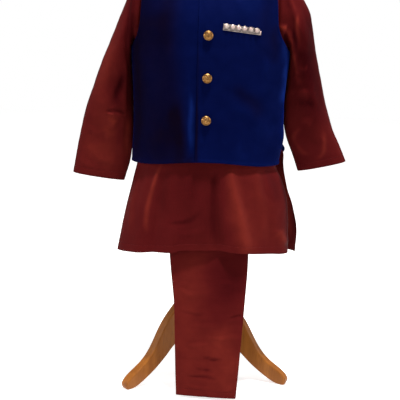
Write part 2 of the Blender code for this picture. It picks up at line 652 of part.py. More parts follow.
cap = turned_solid('form_neck_cap', (
    (0, 42), (9, 40), (13, 34), (11, 27), (7, 22), (10, 17), (30, 13), (CAP_RADIUS - 3, 9),
    (CAP_RADIUS, 5), (CAP_RADIUS, 1.5), (CAP_RADIUS - 1.5, 0), (0, 0)), 20, wood)
cap.location = Vector((0, 4, FORM_TOP + SEAM)) * MM

# Stand: a pole into a hub, and three S-curved legs cut from board.
turned_solid('stand_pole', (
    (0, FORM_BASE - SEAM), (POLE_RADIUS, FORM_BASE - SEAM), (POLE_RADIUS, HUB_TOP + SEAM), (0, HUB_TOP + SEAM)),
    20, wood)
turned_solid('stand_hub', (
    (0, HUB_TOP), (HUB_RADIUS - 5, HUB_TOP), (HUB_RADIUS, HUB_TOP - 5), (HUB_RADIUS, HUB_BOTTOM + 6),
    (HUB_RADIUS - 6, HUB_BOTTOM), (0, HUB_BOTTOM)), 24, wood)
LEG_OUTLINE = (
    (HUB_RADIUS + SEAM, 200), (44, 188), (68, 164), (88, 144), (104, 124), (117, 100), (128, 79), (141, 60),
    (160, 44), (181, 33), (196, 21), (203, 10), (203, 2), (198, 0), (180, 0), (164, 8), (147, 18), (131, 28),
    (116, 40), (101, 53), (87, 68), (67, 85), (44, 98), (HUB_RADIUS + SEAM, 106))
for number, bearing in enumerate(LEG_BEARINGS, 1):
    outline = bpy.data.curves.new(f'stand_leg_{number}', 'CURVE')
    outline.dimensions = '2D'
    outline.fill_mode = 'BOTH'
    outline.extrude = (LEG_THICKNESS / 2 - 2.5) * MM
    outline.bevel_depth = 2.5 * MM
    outline.offset = -2.5 * MM
    outline.bevel_resolution = 1
    spline = outline.splines.new('POLY')
    spline.points.add(len(LEG_OUTLINE) - 1)
    for point, (r, z) in zip(spline.points, LEG_OUTLINE):
        point.co = (r * MM, z * MM, 0, 1)
    spline.use_cyclic_u = True
    leg = add_object(f'stand_leg_{number}', outline, wood)
    leg.rotation_euler = (math.radians(90), 0, math.radians(bearing - 90))

# The whole set stands with the middle of its outline on the origin.
bpy.context.view_layer.update()
shapes = bpy.context.evaluated_depsgraph_get()
extent = []
for item in collection.objects:
    if item.type != 'EMPTY':
        shape = item.evaluated_get(shapes)
        extent += [item.matrix_world @ vertex.co for vertex in shape.to_mesh().vertices]
        shape.to_mesh_clear()
low = Vector(min(p[axis] for p in extent) for axis in range(3))
high = Vector(max(p[axis] for p in extent) for axis in range(3))
stand_point.location = (-(low.x + high.x) / 2, -(low.y + high.y) / 2, -low.z)
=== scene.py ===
import bpy
import bmesh
import math
import numpy as np
from mathutils import Matrix, Vector, noise
from mathutils.bvhtree import BVHTree


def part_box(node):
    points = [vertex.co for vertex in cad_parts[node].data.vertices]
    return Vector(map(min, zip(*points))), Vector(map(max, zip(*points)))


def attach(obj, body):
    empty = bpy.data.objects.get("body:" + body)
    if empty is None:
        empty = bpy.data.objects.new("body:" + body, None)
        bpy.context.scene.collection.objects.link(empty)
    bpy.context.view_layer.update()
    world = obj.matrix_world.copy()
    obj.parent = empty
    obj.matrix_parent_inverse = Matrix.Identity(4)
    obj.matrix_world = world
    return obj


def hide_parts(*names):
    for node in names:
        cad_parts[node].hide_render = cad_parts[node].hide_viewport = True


# A child's kurta, folded pyjama and velvet waistcoat on a limbless dress form.
# The garment tables are in millimetres from the stand's pole; points become metres when a mesh is made.
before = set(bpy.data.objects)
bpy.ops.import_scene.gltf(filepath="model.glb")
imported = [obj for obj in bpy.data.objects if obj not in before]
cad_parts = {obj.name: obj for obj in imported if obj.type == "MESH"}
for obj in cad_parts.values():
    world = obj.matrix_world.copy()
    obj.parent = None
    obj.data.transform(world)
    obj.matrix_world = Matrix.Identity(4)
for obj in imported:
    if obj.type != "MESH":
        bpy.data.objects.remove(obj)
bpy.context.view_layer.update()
poleLow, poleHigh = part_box("stand_pole")
standPlace = np.array([(poleLow.x + poleHigh.x) / 2, (poleLow.y + poleHigh.y) / 2, 0.0])
mm = 0.001
print("frame loaded, stand at", [round(v, 4) for v in standPlace])


# Smooth tables and the garments' sections
class SmoothTable:
    # Monotone curves through the rows of a table, read by its first column, for whole arrays.
    def __init__(self, columns, rows):
        self.names = columns.split()
        self.data = np.array(rows, float)
        self.keys = self.data[:, 0]
        steps = np.diff(self.data, axis=0) / np.diff(self.keys)[:, None]
        self.slopes = np.zeros_like(self.data)
        self.slopes[0], self.slopes[-1] = steps[0], steps[-1]
        before, after = steps[:-1], steps[1:]
        rising = before * after > 0
        total = np.where(rising, before + after, 1.0)
        self.slopes[1:-1] = np.where(rising, 2 * before * after / total, 0.0)

    def at(self, key):
        key = np.clip(np.asarray(key, float), self.keys[0], self.keys[-1])
        i = np.clip(np.searchsorted(self.keys, key, side="right") - 1, 0, len(self.keys) - 2)
        width = self.keys[i + 1] - self.keys[i]
        t = (key - self.keys[i]) / width
        row = {}
        for k, name in enumerate(self.names):
            a, b, sa, sb = self.data[i, k], self.data[i + 1, k], self.slopes[i, k], self.slopes[i + 1, k]
            row[name] = ((1 + 2 * t) * (1 - t) ** 2 * a + t * t * (3 - 2 * t) * b
                         + width * t * (1 - t) * ((1 - t) * sa - t * sb))
        return row


def smooth(low, high, value):
    t = np.clip((value - low) / (high - low), 0.0, 1.0)
    return t * t * (3 - 2 * t)


body = {
    "cloth": 1.2, "velvet": 2.2, "layer": 0.95, "neck": 889.0, "seam": 0.1,
    "kurtaHemFront": 281.0, "kurtaHemBack": 265.0, "jacketHem": 474.0,
    "sag": 4.5, "arch": 10.0, "sagTop": 545.0, "hemLiftReach": 64.0,
    "frontEdge": -21.0, "underlap": 16.0, "overlapLift": 2.8, "overlapEnd": 62.0, "overlapEase": 42.0,
    "slitTop": 512.0,
}
# Half widths left and right, depths front and back, centre, roundness, how far the ring hangs at front
# and back, and how far a slit's edge stands off the side.
sectionColumns = "level left right front back centre power frontDrop backDrop slit"
torsoRows = (
    (512, 143, 147, 89, 82, 0, 2.3, 0, 0, 0),
    (560, 143, 148, 86, 80, 0, 2.3, 0, 0, 0),
    (620, 144, 149, 84, 79, 0, 2.3, 0, 0, 0),
    (680, 146, 150, 83, 79, 0, 2.3, 0, 0, 0),
    (716, 147.5, 150, 82, 80, 0, 2.3, 2, 0, 0),
    (740, 149, 151, 82, 80, 0, 2.3, 5, -1, 0),
    (780, 152, 153, 79, 79, 1, 2.3, 12, -3, 0),
    (820, 153, 153, 71, 75, 2, 2.3, 24, -6, 0),
    (850, 150, 150, 60, 67, 3, 2.3, 37, -8, 0),
    (859, 139.5, 139.5, 57, 63.5, 4, 2.3, 41, -8.6, 0),
    (863, 130, 130, 55.5, 61, 4, 2.3, 42.4, -9, 0),
    (869, 113, 113, 52.5, 57, 4, 2.25, 44, -9.5, 0),
    (875, 94, 94, 50, 53.5, 4, 2.2, 45.4, -9.8, 0),
    (881, 75, 75, 48, 50.5, 4, 2.1, 46.6, -9.6, 0),
    (885, 63.5, 63.5, 47, 48.8, 4, 2.05, 47.4, -9, 0),
    (889, 55.5, 55.5, 46.4, 47.6, 4, 2.0, 48, -8, 0),
    (894, 50.5, 50.5, 45.8, 46.4, 4, 2.0, 48, -6.5, 0),
    (901, 48.2, 48.2, 45.2, 45.4, 4, 2.0, 47, -4.5, 0),
    (912, 47, 47, 44.8, 44.8, 4, 2.0, 44, -2, 0),
    (925, 46.6, 46.6, 44.6, 44.6, 4, 2.0, 38, 0, 0),
    (940, 46.6, 46.6, 44.6, 44.6, 4, 2.0, 30, 0, 0))
kurtaFrontTable = SmoothTable(sectionColumns, (
    (281, 184, 182, 100, 80, -20, 2.3, -15, 0, 26),
    (342, 173, 181, 96, 80, -15, 2.3, -10, 0, 24),
    (391, 162, 176, 93, 80, -11, 2.3, -4, 0, 21),
    (434, 151, 163, 92, 80, -7, 2.3, 0, 0, 16),
    (466, 143, 148, 91, 80, -4, 2.3, 0, 0, 9),
    (490, 142, 145, 90, 80, -1, 2.3, 0, 0, 4)) + torsoRows)
kurtaBackTable = SmoothTable(sectionColumns, (
    (265, 182, 210, 80, 86, 20, 2.3, 0, 0, 26),
    (306, 178, 212, 80, 85, 18, 2.3, 0, 0, 26),
    (365, 170, 201, 80, 84, 14, 2.3, 0, 0, 25),
    (410, 160, 184, 80, 83, 9, 2.3, 0, 0, 24),
    (463, 147, 171, 80, 82, 4, 2.3, 0, 0, 20),
    (490, 144, 166, 80, 82, 1, 2.3, 0, 0, 10)) + torsoRows)
# Broad skirt folds: place at the hem, place and height where they start, half width, rise.
frontFolds = (
    (-135, -118, 470, 16, 5.0),
    (-104, -82, 472, 11, -4.0),
    (-60, -45, 430, 24, 4.5),
    (30, 21, 476, 13, -5.0),
    (72, 46, 478, 26, 13.0),
    (142, 118, 440, 18, -4.0))
backFolds = (
    (-120, -96, 455, 20, 6.0),
    (-62, -50, 470, 14, -5.0),
    (-4, 2, 440, 24, 6.0),
    (66, 52, 470, 15, -6.0),
    (128, 104, 450, 26, 6.0))
hemLift = SmoothTable("x lift", ((-184, 1), (-66, 0.5), (-46, 5.5), (40, 6), (72, 5.5), (104, 3), (182, 3)))
easeTable = SmoothTable("level left right leftBack rightBack front back frontVent backVent", (
    (474, 10, 6, 9, 9, 5, 6, 20, 52),
    (490, 9, 8.5, 9, 10, 5, 6, 9, 32),
    (512, 7, 11.5, 7, 11.5, 5, 6, 0, 0),
    (528, 6.5, 13, 6.5, 13, 5, 6, 0, 0),
    (560, 6, 10, 6, 10, 5, 5, 0, 0),
    (590, 6.3, 9.5, 6.3, 9.5, 5, 5, 0, 0),
    (630, 6.8, 11, 6.8, 11, 5, 5, 0, 0),
    (690, 7.5, 14.5, 7.5, 14.5, 5, 5, 0, 0),
    (716, 7.5, 15, 7.5, 15, 4, 4, 0, 0),
    (735, 6.5, 11, 6.5, 11, 3.5, 3.5, 0, 0),
    (760, 4.5, 5.5, 4.5, 5.5, 2.5, 3, 0, 0),
    (798, 2, 3, 2, 3, 1, 1.5, 0, 0),
    (838, 0, 0, 0, 0, 0, 0, 0, 0),
    (940, 0, 0, 0, 0, 0, 0, 0, 0)))
kurtaArmhole = SmoothTable("level x", (
    (716, 150), (719, 147), (726, 143.5), (738, 141), (755, 139.8), (775, 139.5), (859, 139.5)))
jacketArmhole = SmoothTable("level x", (
    (702, 150), (706, 147), (714, 143), (726, 138.5), (740, 135.5), (760, 134), (861.4, 134)))


def sectionPoint(front, back, level, phi):
    # phi 0 is the front centre, 90 degrees the viewer's right
    s, c = np.sin(phi), np.cos(phi)
    ahead = c > 0
    rowFront, rowBack = front.at(level), back.at(level)
    row = {name: np.where(ahead, rowFront[name], rowBack[name]) for name in rowFront}
    half = np.where(s > 0, row["right"], row["left"])
    depth = np.where(ahead, row["front"], row["back"])
    drop = np.where(ahead, row["frontDrop"], row["backDrop"])
    power = 2 / row["power"]
    return np.stack((np.copysign(half * np.abs(s) ** power, s),
                     row["centre"] - np.copysign(depth * np.abs(c) ** power, c),
                     row["level"] - drop * c * c), -1)


def foldRise(folds, level, x, hem):
    total = np.zeros_like(x)
    for hemX, topX, topLevel, half, rise in folds:
        share = np.maximum((topLevel - level) / (topLevel - hem), 0.0)
        middle = topX + (hemX - topX) * share
        reach = half * (0.6 + 0.4 * share)
        total += rise * np.minimum(share * 1.6, 1.0) ** 1.3 * np.exp(-((x - middle) / reach) ** 2)
    return total


def plainKurta(level, phi):
    return sectionPoint(kurtaFrontTable, kurtaBackTable, level, phi)


def kurtaForm(level, phi):
    p = plainKurta(level, phi)
    ahead = np.cos(phi) > 0
    rise = np.where(ahead, -foldRise(frontFolds, level, p[..., 0], body["kurtaHemFront"]),
                    foldRise(backFolds, level, p[..., 0], body["kurtaHemBack"]))
    p[..., 1] += rise
    lift = np.maximum(1 - (level - body["kurtaHemFront"]) / body["hemLiftReach"], 0.0)
    p[..., 2] += np.where(ahead, hemLift.at(p[..., 0])["lift"] * lift, 0.0)
    return p


def unit(v):
    return v / np.maximum(np.linalg.norm(v, axis=-1, keepdims=True), 1e-12)


def normalOf(surface, level, phi):
    turn, rise = 0.004, 0.5
    across = surface(level, phi + turn) - surface(level, phi - turn)
    up = surface(level + rise, phi) - surface(level - rise, phi)
    return unit(np.cross(across, up))


def jacketForm(level, phi):
    s, c = np.sin(phi), np.cos(phi)
    ease = easeTable.at(level)
    right = np.where(c > 0, ease["right"], ease["rightBack"])
    left = np.where(c > 0, ease["left"], ease["leftBack"])
    p = plainKurta(level, phi) + normalOf(plainKurta, level, phi) * (body["cloth"] + body["layer"])
    p[..., 0] += np.where(s > 0, right, -left) * s * s
    p[..., 1] += np.where(c > 0, -ease["front"], ease["back"]) * c * c
    share = np.clip((body["sagTop"] - level) / (body["sagTop"] - body["jacketHem"]), 0.0, 1.0)
    p[..., 2] += (body["arch"] * np.maximum(c, 0.0) ** 6 - body["sag"]) * share ** 2
    return p


def jacketOver(level, phi):
    p = jacketForm(level, phi)
    share = smooth(0.0, 1.0, (body["overlapEnd"] - p[..., 0]) / body["overlapEase"])[..., None]
    return p + normalOf(jacketForm, level, phi) * body["overlapLift"] * share


def angleAtX(level, x):
    row = kurtaFrontTable.at(level)
    half = np.where(np.asarray(x) > 0, row["right"], row["left"])
    return np.copysign(np.arcsin(np.minimum(np.abs(x) / half, 1.0) ** (row["power"] / 2)), x)


def sideEnd(front, armhole, level, side, slit):
    row = (kurtaFrontTable if front else kurtaBackTable).at(level)
    depth = row["front" if front else "back"]
    end = np.arccos(np.minimum(np.maximum(slit, body["seam"] / 2) / depth, 1.0) ** (row["power"] / 2))
    half = row["right" if side > 0 else "left"]
    atHole = np.arcsin(np.minimum(armhole.at(level)["x"] / half, 1.0) ** (row["power"] / 2))
    inside = (level > armhole.keys[0]) & (level < armhole.keys[-1])
    return np.where(inside, np.minimum(end, atHole), end)


def kurtaEnd(front, level, side):
    slit = (kurtaFrontTable if front else kurtaBackTable).at(level)["slit"]
    return sideEnd(front, kurtaArmhole, level, side, np.where(level < body["slitTop"], slit, 0.0))


def jacketEnd(front, level, side):
    vent = easeTable.at(level)["frontVent" if front else "backVent"]
    return sideEnd(front, jacketArmhole, level, side, np.where(level < body["slitTop"], vent, 0.0))


# Cloth grids
def stations(*runs):
    # (start, end, step) runs joined into one rising list
    values = []
    for start, end, step in runs:
        count = max(int(round((end - start) / step)), 1)
        values += [start + (end - start) * k / count for k in range(count)]
    return np.array(values + [runs[-1][1]])


def gridNormals(points, closed=False):
    if closed:
        across = np.roll(points, -1, 1) - np.roll(points, 1, 1)
    else:
        across = np.gradient(points, axis=1)
    return unit(np.cross(across, np.gradient(points, axis=0)))


def ringNormals(points):
    # the same for closed rings, pointing outwards
    normals = gridNormals(points, closed=True)
    outwards = np.sum(normals * (points - points.mean(axis=1, keepdims=True))) > 0
    return normals if outwards else -normals


def runLength(points, axis):
    step = np.linalg.norm(np.diff(points, axis=axis), axis=-1)
    start = np.zeros_like(np.take(step, [0], axis=axis))
    return np.concatenate([start, np.cumsum(step, axis=axis)], axis=axis)


def unevenness(points, scale, seed):
    # soft noise of about -1 to 1; scale in millimetres along x, y and z
    flat = points.reshape(-1, 3) / np.array(scale) + seed
    return np.array([noise.noise(p) for p in flat.tolist()]).reshape(points.shape[:-1])


def creaseRise(creases, x, z):
    # Each row: x0 z0 x1 z1 bend width height lean. Lean 0 is a ridge, 1 a ridge beside a trough.
    total = np.zeros_like(x)
    for x0, z0, x1, z1, bend, width, height, lean in creases:
        dx, dz = x1 - x0, z1 - z0
        length = math.hypot(dx, dz)
        t = ((x - x0) * dx + (z - z0) * dz) / length ** 2
        off = ((x - x0) * dz - (z - z0) * dx) / length - bend * 4 * t * (1 - t)
        off += 0.18 * width * np.sin(9 * t + x0)
        d = off / (width * (0.75 + 0.5 * np.clip(t, 0, 1)))
        fade = np.exp(-1.2 * np.clip(np.abs(2 * t - 1), 0, 3) ** 6)
        hump = np.exp(-d * d)
        total += height * fade * hump * ((1 - abs(lean)) + 2.33 * lean * d)
    return total


def panelGrid(surface, levels, start, end, columns, edgeSteps):
    # Columns lie at set distances from both edges and evenly between.
    level = levels[:, None]
    first, last = start(levels)[:, None], end(levels)[:, None]
    paceFirst = np.linalg.norm(surface(level, first + 0.02) - surface(level, first), axis=-1) / 0.02
    paceLast = np.linalg.norm(surface(level, last) - surface(level, last - 0.02), axis=-1) / 0.02
    steps = np.array(edgeSteps, float)[None, :]
    near = first + steps / paceFirst
    far = last - steps / paceLast
    share = np.linspace(0, 1, columns)[None, 1:-1]
    middle = near[:, -1:] + (far[:, -1:] - near[:, -1:]) * share
    phi = np.concatenate([near, middle, far[:, ::-1]], axis=1)
    level = np.repeat(level, phi.shape[1], axis=1)
    return level, phi, surface(level, phi), normalOf(surface, level, phi)


def addObject(name, data):
    item = bpy.data.objects.new(name, data)
    bpy.context.scene.collection.objects.link(item)
    return item


def newMesh(name, points, faces):
    # points in millimetres from the stand's pole
    mesh = bpy.data.meshes.new(name)
    mesh.from_pydata((points * mm + standPlace).tolist(), [], faces)
    return mesh


def finishMesh(mesh, material, sharp=None):
    # faces point outwards, and edges above the angle stay sharp
    shape = bmesh.new()
    shape.from_mesh(mesh)
    bmesh.ops.recalc_face_normals(shape, faces=shape.faces)
    shape.to_mesh(mesh)
    shape.free()
    mesh.shade_smooth()
    if sharp:
        mesh.set_sharp_from_angle(angle=math.radians(sharp))
    mesh.materials.append(material)
    return addObject(mesh.name, mesh)


def makeCloth(name, outer, inner, material, lie=None, closed=False):
    # A thin shell: outer and inner faces joined along the edges, with a cloth UV in metres.
    # lie is painted light and shade on the colour, -1 (painted shade) to 1 (painted highlight)
    rows, columns = outer.shape[:2]
    if closed:
        ring = np.concatenate([outer, outer[:, :1]], axis=1)
    else:
        ring = outer
    u = runLength(ring, 1)
    u = u - u[:, -1:] / 2
    v = runLength(ring, 0)
    coordinates = np.stack([u, v], -1) * mm
    vertices = np.concatenate([outer.reshape(-1, 3), inner.reshape(-1, 3)])
    i, j = np.meshgrid(np.arange(rows - 1), np.arange(columns if closed else columns - 1), indexing="ij")
    i, j = i.ravel(), j.ravel()

    def vertex(side, a, b):
        return side * rows * columns + a * columns + b % columns

    corners = [(i, j), (i, j + 1), (i + 1, j + 1), (i + 1, j)]
    quads = [np.stack([vertex(0, a, b) for a, b in corners], 1)]
    uvs = [np.stack([coordinates[a, b] for a, b in corners], 1)]
    quads.append(np.stack([vertex(1, a, b) for a, b in corners[::-1]], 1))
    uvs.append(np.stack([coordinates[a, b] for a, b in corners[::-1]], 1))

    def rim(a, b, a2, b2):
        quads.append(np.stack([vertex(0, a, b), vertex(1, a, b), vertex(1, a2, b2), vertex(0, a2, b2)], 1))
        here, there = coordinates[a, b], coordinates[a2, b2]
        uvs.append(np.stack([here, here, there, there], 1))

    k = np.arange(columns if closed else columns - 1)
    low, high = np.zeros_like(k), np.full_like(k, rows - 1)
    rim(low, k, low, k + 1)
    rim(high, k + 1, high, k)
    if not closed:
        m = np.arange(rows - 1)
        rim(m + 1, np.zeros_like(m), m, np.zeros_like(m))
        rim(m, np.full_like(m, columns - 1), m + 1, np.full_like(m, columns - 1))
    quads, uvs = np.concatenate(quads), np.concatenate(uvs)
    mesh = newMesh(name, vertices, quads.tolist())
    layer = mesh.uv_layers.new(name="cloth")
    layer.data.foreach_set("uv", uvs.reshape(-1).astype(np.float32))
    item = finishMesh(mesh, material, 55)
    if lie is not None:
        lies = np.tile(np.clip(np.broadcast_to(lie, (rows, columns)), -1, 1).ravel(), 2)
        mesh.attributes.new("lie", "FLOAT", "POINT").data.foreach_set("value", lies.astype(np.float32))
    return item


def stitchMesh(name, lines, material, pitch=3.2, length=2.2, width=0.26):
    # Thread stitches along lines of (points, normals), each a small spindle lying on the cloth.
    points, faces = [], []
    for path, normals in lines:
        run = np.concatenate([[0], np.cumsum(np.linalg.norm(np.diff(path, axis=0), axis=1))])
        count = int(run[-1] // pitch)
        for k in range(count):
            ends = [(k + 0.5) * pitch - length / 2, (k + 0.5) * pitch + length / 2]
            a, b = (np.array([np.interp(s, run, path[:, c]) for c in range(3)]) for s in ends)
            n = unit(np.array([np.interp(sum(ends) / 2, run, normals[:, c]) for c in range(3)]))
            along = unit(b - a)
            side = np.cross(along, n) * width
            lift = n * width * 0.75
            start = len(points)
            points += [a - lift * 0.6, b - lift * 0.6]
            for share in (0.22, 0.78):
                middle = a + (b - a) * share
                points += [middle + side, middle + lift, middle - side, middle - lift]
            for m in range(4):
                o, q = start + 2 + m, start + 2 + (m + 1) % 4
                faces += [(start, q, o), (o, q, q + 4, o + 4), (start + 1, o + 4, q + 4)]
    return finishMesh(newMesh(name, np.array(points), faces), material)


# Materials
def node(tree, kind, place, **settings):
    made = tree.nodes.new(kind)
    made.location = place
    for name, value in settings.items():
        if name in made.bl_rna.properties:
            setattr(made, name, value)
        else:
            made.inputs[name.replace("_", " ")].default_value = value
    return made


def newGroup(name, inputs, outputs):
    tree = bpy.data.node_groups.new(name, "ShaderNodeTree")
    for label, kind, value in inputs:
        made = tree.interface.new_socket(label, in_out="INPUT", socket_type=kind)
        if value is not None:
            made.default_value = value
    for label, kind in outputs:
        tree.interface.new_socket(label, in_out="OUTPUT", socket_type=kind)
    return tree, node(tree, "NodeGroupInput", (-900, 0)), node(tree, "NodeGroupOutput", (700, 0))


def mathNode(tree, place, operation, a, b=None, clamp=False):
    made = node(tree, "ShaderNodeMath", place, operation=operation, use_clamp=clamp)
    for slot, value in enumerate((a, b)):
        if value is None:
            continue
        if isinstance(value, (int, float)):
            made.inputs[slot].default_value = value
        else:
            tree.links.new(value, made.inputs[slot])
    return made.outputs[0]


def buildWeave():
    # Plain weave with uneven threads, from the cloth's own UV.
    tree, given, result = newGroup(
        "plainWeave",
        [("Thread Pitch", "NodeSocketFloat", 0.0005), ("Slub", "NodeSocketFloat", 0.5),
         ("Seed", "NodeSocketFloat", 0.0)],
        [("Height", "NodeSocketFloat"), ("Thread", "NodeSocketFloat"), ("Slubs", "NodeSocketFloat")])
    uv = node(tree, "ShaderNodeUVMap", (-900, 260), uv_map="cloth")
    parts = node(tree, "ShaderNodeSeparateXYZ", (-700, 260))
    tree.links.new(uv.outputs[0], parts.inputs[0])
    turn = mathNode(tree, (-700, 60), "DIVIDE", math.pi, given.outputs["Thread Pitch"])
    waves = []
    for k in (0, 1):
        angle = mathNode(tree, (-500, 260 - 160 * k), "MULTIPLY", parts.outputs[k], turn)
        waves.append(mathNode(tree, (-320, 260 - 160 * k), "SINE", angle))
    over = mathNode(tree, (-140, 240), "MULTIPLY", waves[0], waves[1])
    across = mathNode(tree, (-140, 80), "ABSOLUTE", waves[0])
    along = mathNode(tree, (-140, -60), "ABSOLUTE", waves[1])
    ridges = mathNode(tree, (40, 20), "ADD", across, along)
    height = mathNode(tree, (220, 160), "ADD", mathNode(tree, (40, 200), "MULTIPLY", over, 0.5), ridges)
    stretch = node(tree, "ShaderNodeCombineXYZ", (-500, -260))
    for k, (slot, scale) in enumerate((("X", 9.0), ("Y", 1500.0))):
        scaled = mathNode(tree, (-700, -240 - 140 * k), "MULTIPLY", parts.outputs[k], scale)
        tree.links.new(scaled, stretch.inputs[slot])
    tree.links.new(given.outputs["Seed"], stretch.inputs["Z"])
    slubs = node(tree, "ShaderNodeTexNoise", (-300, -260), Scale=1.0, Detail=1.0)
    tree.links.new(stretch.outputs[0], slubs.inputs["Vector"])
    spread = node(tree, "ShaderNodeMapRange", (-100, -260), From_Min=0.56, From_Max=0.78)
    tree.links.new(slubs.outputs[0], spread.inputs["Value"])
    slubHeight = mathNode(tree, (120, -200), "MULTIPLY", spread.outputs[0], given.outputs["Slub"])
    tree.links.new(mathNode(tree, (420, 100), "ADD", height, slubHeight), result.inputs["Height"])
    tree.links.new(mathNode(tree, (420, -60), "MULTIPLY", ridges, 0.5), result.inputs["Thread"])
    tree.links.new(spread.outputs[0], result.inputs["Slubs"])
    return tree


def buildPatches():
    # Broad soft patches, finer mottling and fine grit on the object's own coordinates.
    tree, given, result = newGroup(
        "softPatches",
        [("Broad", "NodeSocketFloat", 9.0), ("Fine", "NodeSocketFloat", 60.0),
         ("Grit", "NodeSocketFloat", 1500.0), ("Seed", "NodeSocketFloat", 0.0)],
        [("Broad", "NodeSocketFloat"), ("Fine", "NodeSocketFloat"), ("Grit", "NodeSocketFloat")])
    place = node(tree, "ShaderNodeTexCoord", (-900, 300))
    for k, label in enumerate(("Broad", "Fine", "Grit")):
        cloud = node(tree, "ShaderNodeTexNoise", (-400, 300 - 240 * k), noise_dimensions="4D",
                     Detail=2.0 if k < 2 else 1.0)
        tree.links.new(place.outputs["Object"], cloud.inputs["Vector"])
        tree.links.new(given.outputs[label], cloud.inputs["Scale"])
        tree.links.new(given.outputs["Seed"], cloud.inputs["W"])
        spread = node(tree, "ShaderNodeMapRange", (-100, 300 - 240 * k), From_Min=0.3, From_Max=0.7)
        tree.links.new(cloud.outputs[0], spread.inputs["Value"])
        tree.links.new(spread.outputs[0], result.inputs[label])
    return tree


def buildGrain():
    # Long wood grain along one axis, with pores.
    tree, given, result = newGroup(
        "woodGrain",
        [("Vector", "NodeSocketVector", None), ("Seed", "NodeSocketFloat", 0.0)],
        [("Rings", "NodeSocketFloat"), ("Pores", "NodeSocketFloat")])
    bend = node(tree, "ShaderNodeTexNoise", (-600, 200), noise_dimensions="4D", Scale=7.0, Detail=2.0)
    tree.links.new(given.outputs["Vector"], bend.inputs["Vector"])
    tree.links.new(given.outputs["Seed"], bend.inputs["W"])
    stretch = node(tree, "ShaderNodeMapping", (-600, -60))
    stretch.inputs["Scale"].default_value = (55.0, 55.0, 4.0)
    tree.links.new(given.outputs["Vector"], stretch.inputs["Vector"])
    rings = node(tree, "ShaderNodeTexNoise", (-380, -60), noise_dimensions="4D", Scale=1.0, Detail=3.0,
                 Distortion=0.6)
    tree.links.new(stretch.outputs[0], rings.inputs["Vector"])
    drift = mathNode(tree, (-400, 200), "ADD", bend.outputs[0], given.outputs["Seed"])
    tree.links.new(drift, rings.inputs["W"])
    spread = node(tree, "ShaderNodeMapRange", (-160, -60), From_Min=0.34, From_Max=0.66)
    tree.links.new(rings.outputs[0], spread.inputs["Value"])
    tree.links.new(spread.outputs[0], result.inputs["Rings"])
    fine = node(tree, "ShaderNodeMapping", (-600, -360))
    fine.inputs["Scale"].default_value = (900.0, 900.0, 45.0)
    tree.links.new(given.outputs["Vector"], fine.inputs["Vector"])
    pores = node(tree, "ShaderNodeTexNoise", (-380, -360), Scale=1.0, Detail=1.0)
    tree.links.new(fine.outputs[0], pores.inputs["Vector"])
    dots = node(tree, "ShaderNodeMapRange", (-160, -360), From_Min=0.58, From_Max=0.72)
    tree.links.new(pores.outputs[0], dots.inputs["Value"])
    tree.links.new(dots.outputs[0], result.inputs["Pores"])
    return tree


weaveGroup, patchGroup, grainGroup = buildWeave(), buildPatches(), buildGrain()


def useGroup(tree, group, place, **values):
    made = node(tree, "ShaderNodeGroup", place)
    made.node_tree = group
    for label, value in values.items():
        made.inputs[label.replace("_", " ")].default_value = value
    return made


def mixColour(tree, place, factor, first, second, blend="MIX"):
    made = node(tree, "ShaderNodeMix", place, data_type="RGBA", blend_type=blend)
    for slot, value in (("Factor", factor), ("A", first), ("B", second)):
        sockets = [s for s in made.inputs if s.name == slot and s.enabled]
        if isinstance(value, (int, float)):
            sockets[0].default_value = value
        elif isinstance(value, tuple):
            sockets[0].default_value = (*value, 1.0)
        else:
            tree.links.new(value, sockets[0])
    return [s for s in made.outputs if s.enabled][0]


def spreadValue(tree, place, value, low, high):
    made = node(tree, "ShaderNodeMapRange", place, To_Min=low, To_Max=high)
    tree.links.new(value, made.inputs["Value"])
    return made.outputs[0]


def newMaterial(name, **settings):
    material = bpy.data.materials.new(name)
    material.use_nodes = True
    shader = material.node_tree.nodes["Principled BSDF"]
    shader.location = (600, 0)
    for label, value in settings.items():
        shader.inputs[label.replace("_", " ")].default_value = value
    return material, material.node_tree, shader


def addBumps(tree, shader, *layers):
    # (height, strength, distance in metres) layers stacked on the normal
    last = None
    for k, (height, strength, distance) in enumerate(layers):
        bump = node(tree, "ShaderNodeBump", (200 + 150 * k, -400), Strength=strength, Distance=distance)
        tree.links.new(height, bump.inputs["Height"])
        if last:
            tree.links.new(last, bump.inputs["Normal"])
        last = bump.outputs[0]
    tree.links.new(last, shader.inputs["Normal"])


def paintLightAndShade(tree, colour, away, towards):
    # painted shade and painted highlight: the colour is mixed towards the shaded colour (away) or the lit colour
    # (towards)
    lie = node(tree, "ShaderNodeAttribute", (-700, 460), attribute_name="lie")
    down = mathNode(tree, (-500, 560), "MULTIPLY", lie.outputs["Fac"], -1.0, clamp=True)
    up = mathNode(tree, (-500, 400), "MULTIPLY", lie.outputs["Fac"], 1.0, clamp=True)
    return mixColour(tree, (-100, 460), up, mixColour(tree, (-300, 460), down, colour, away), towards)


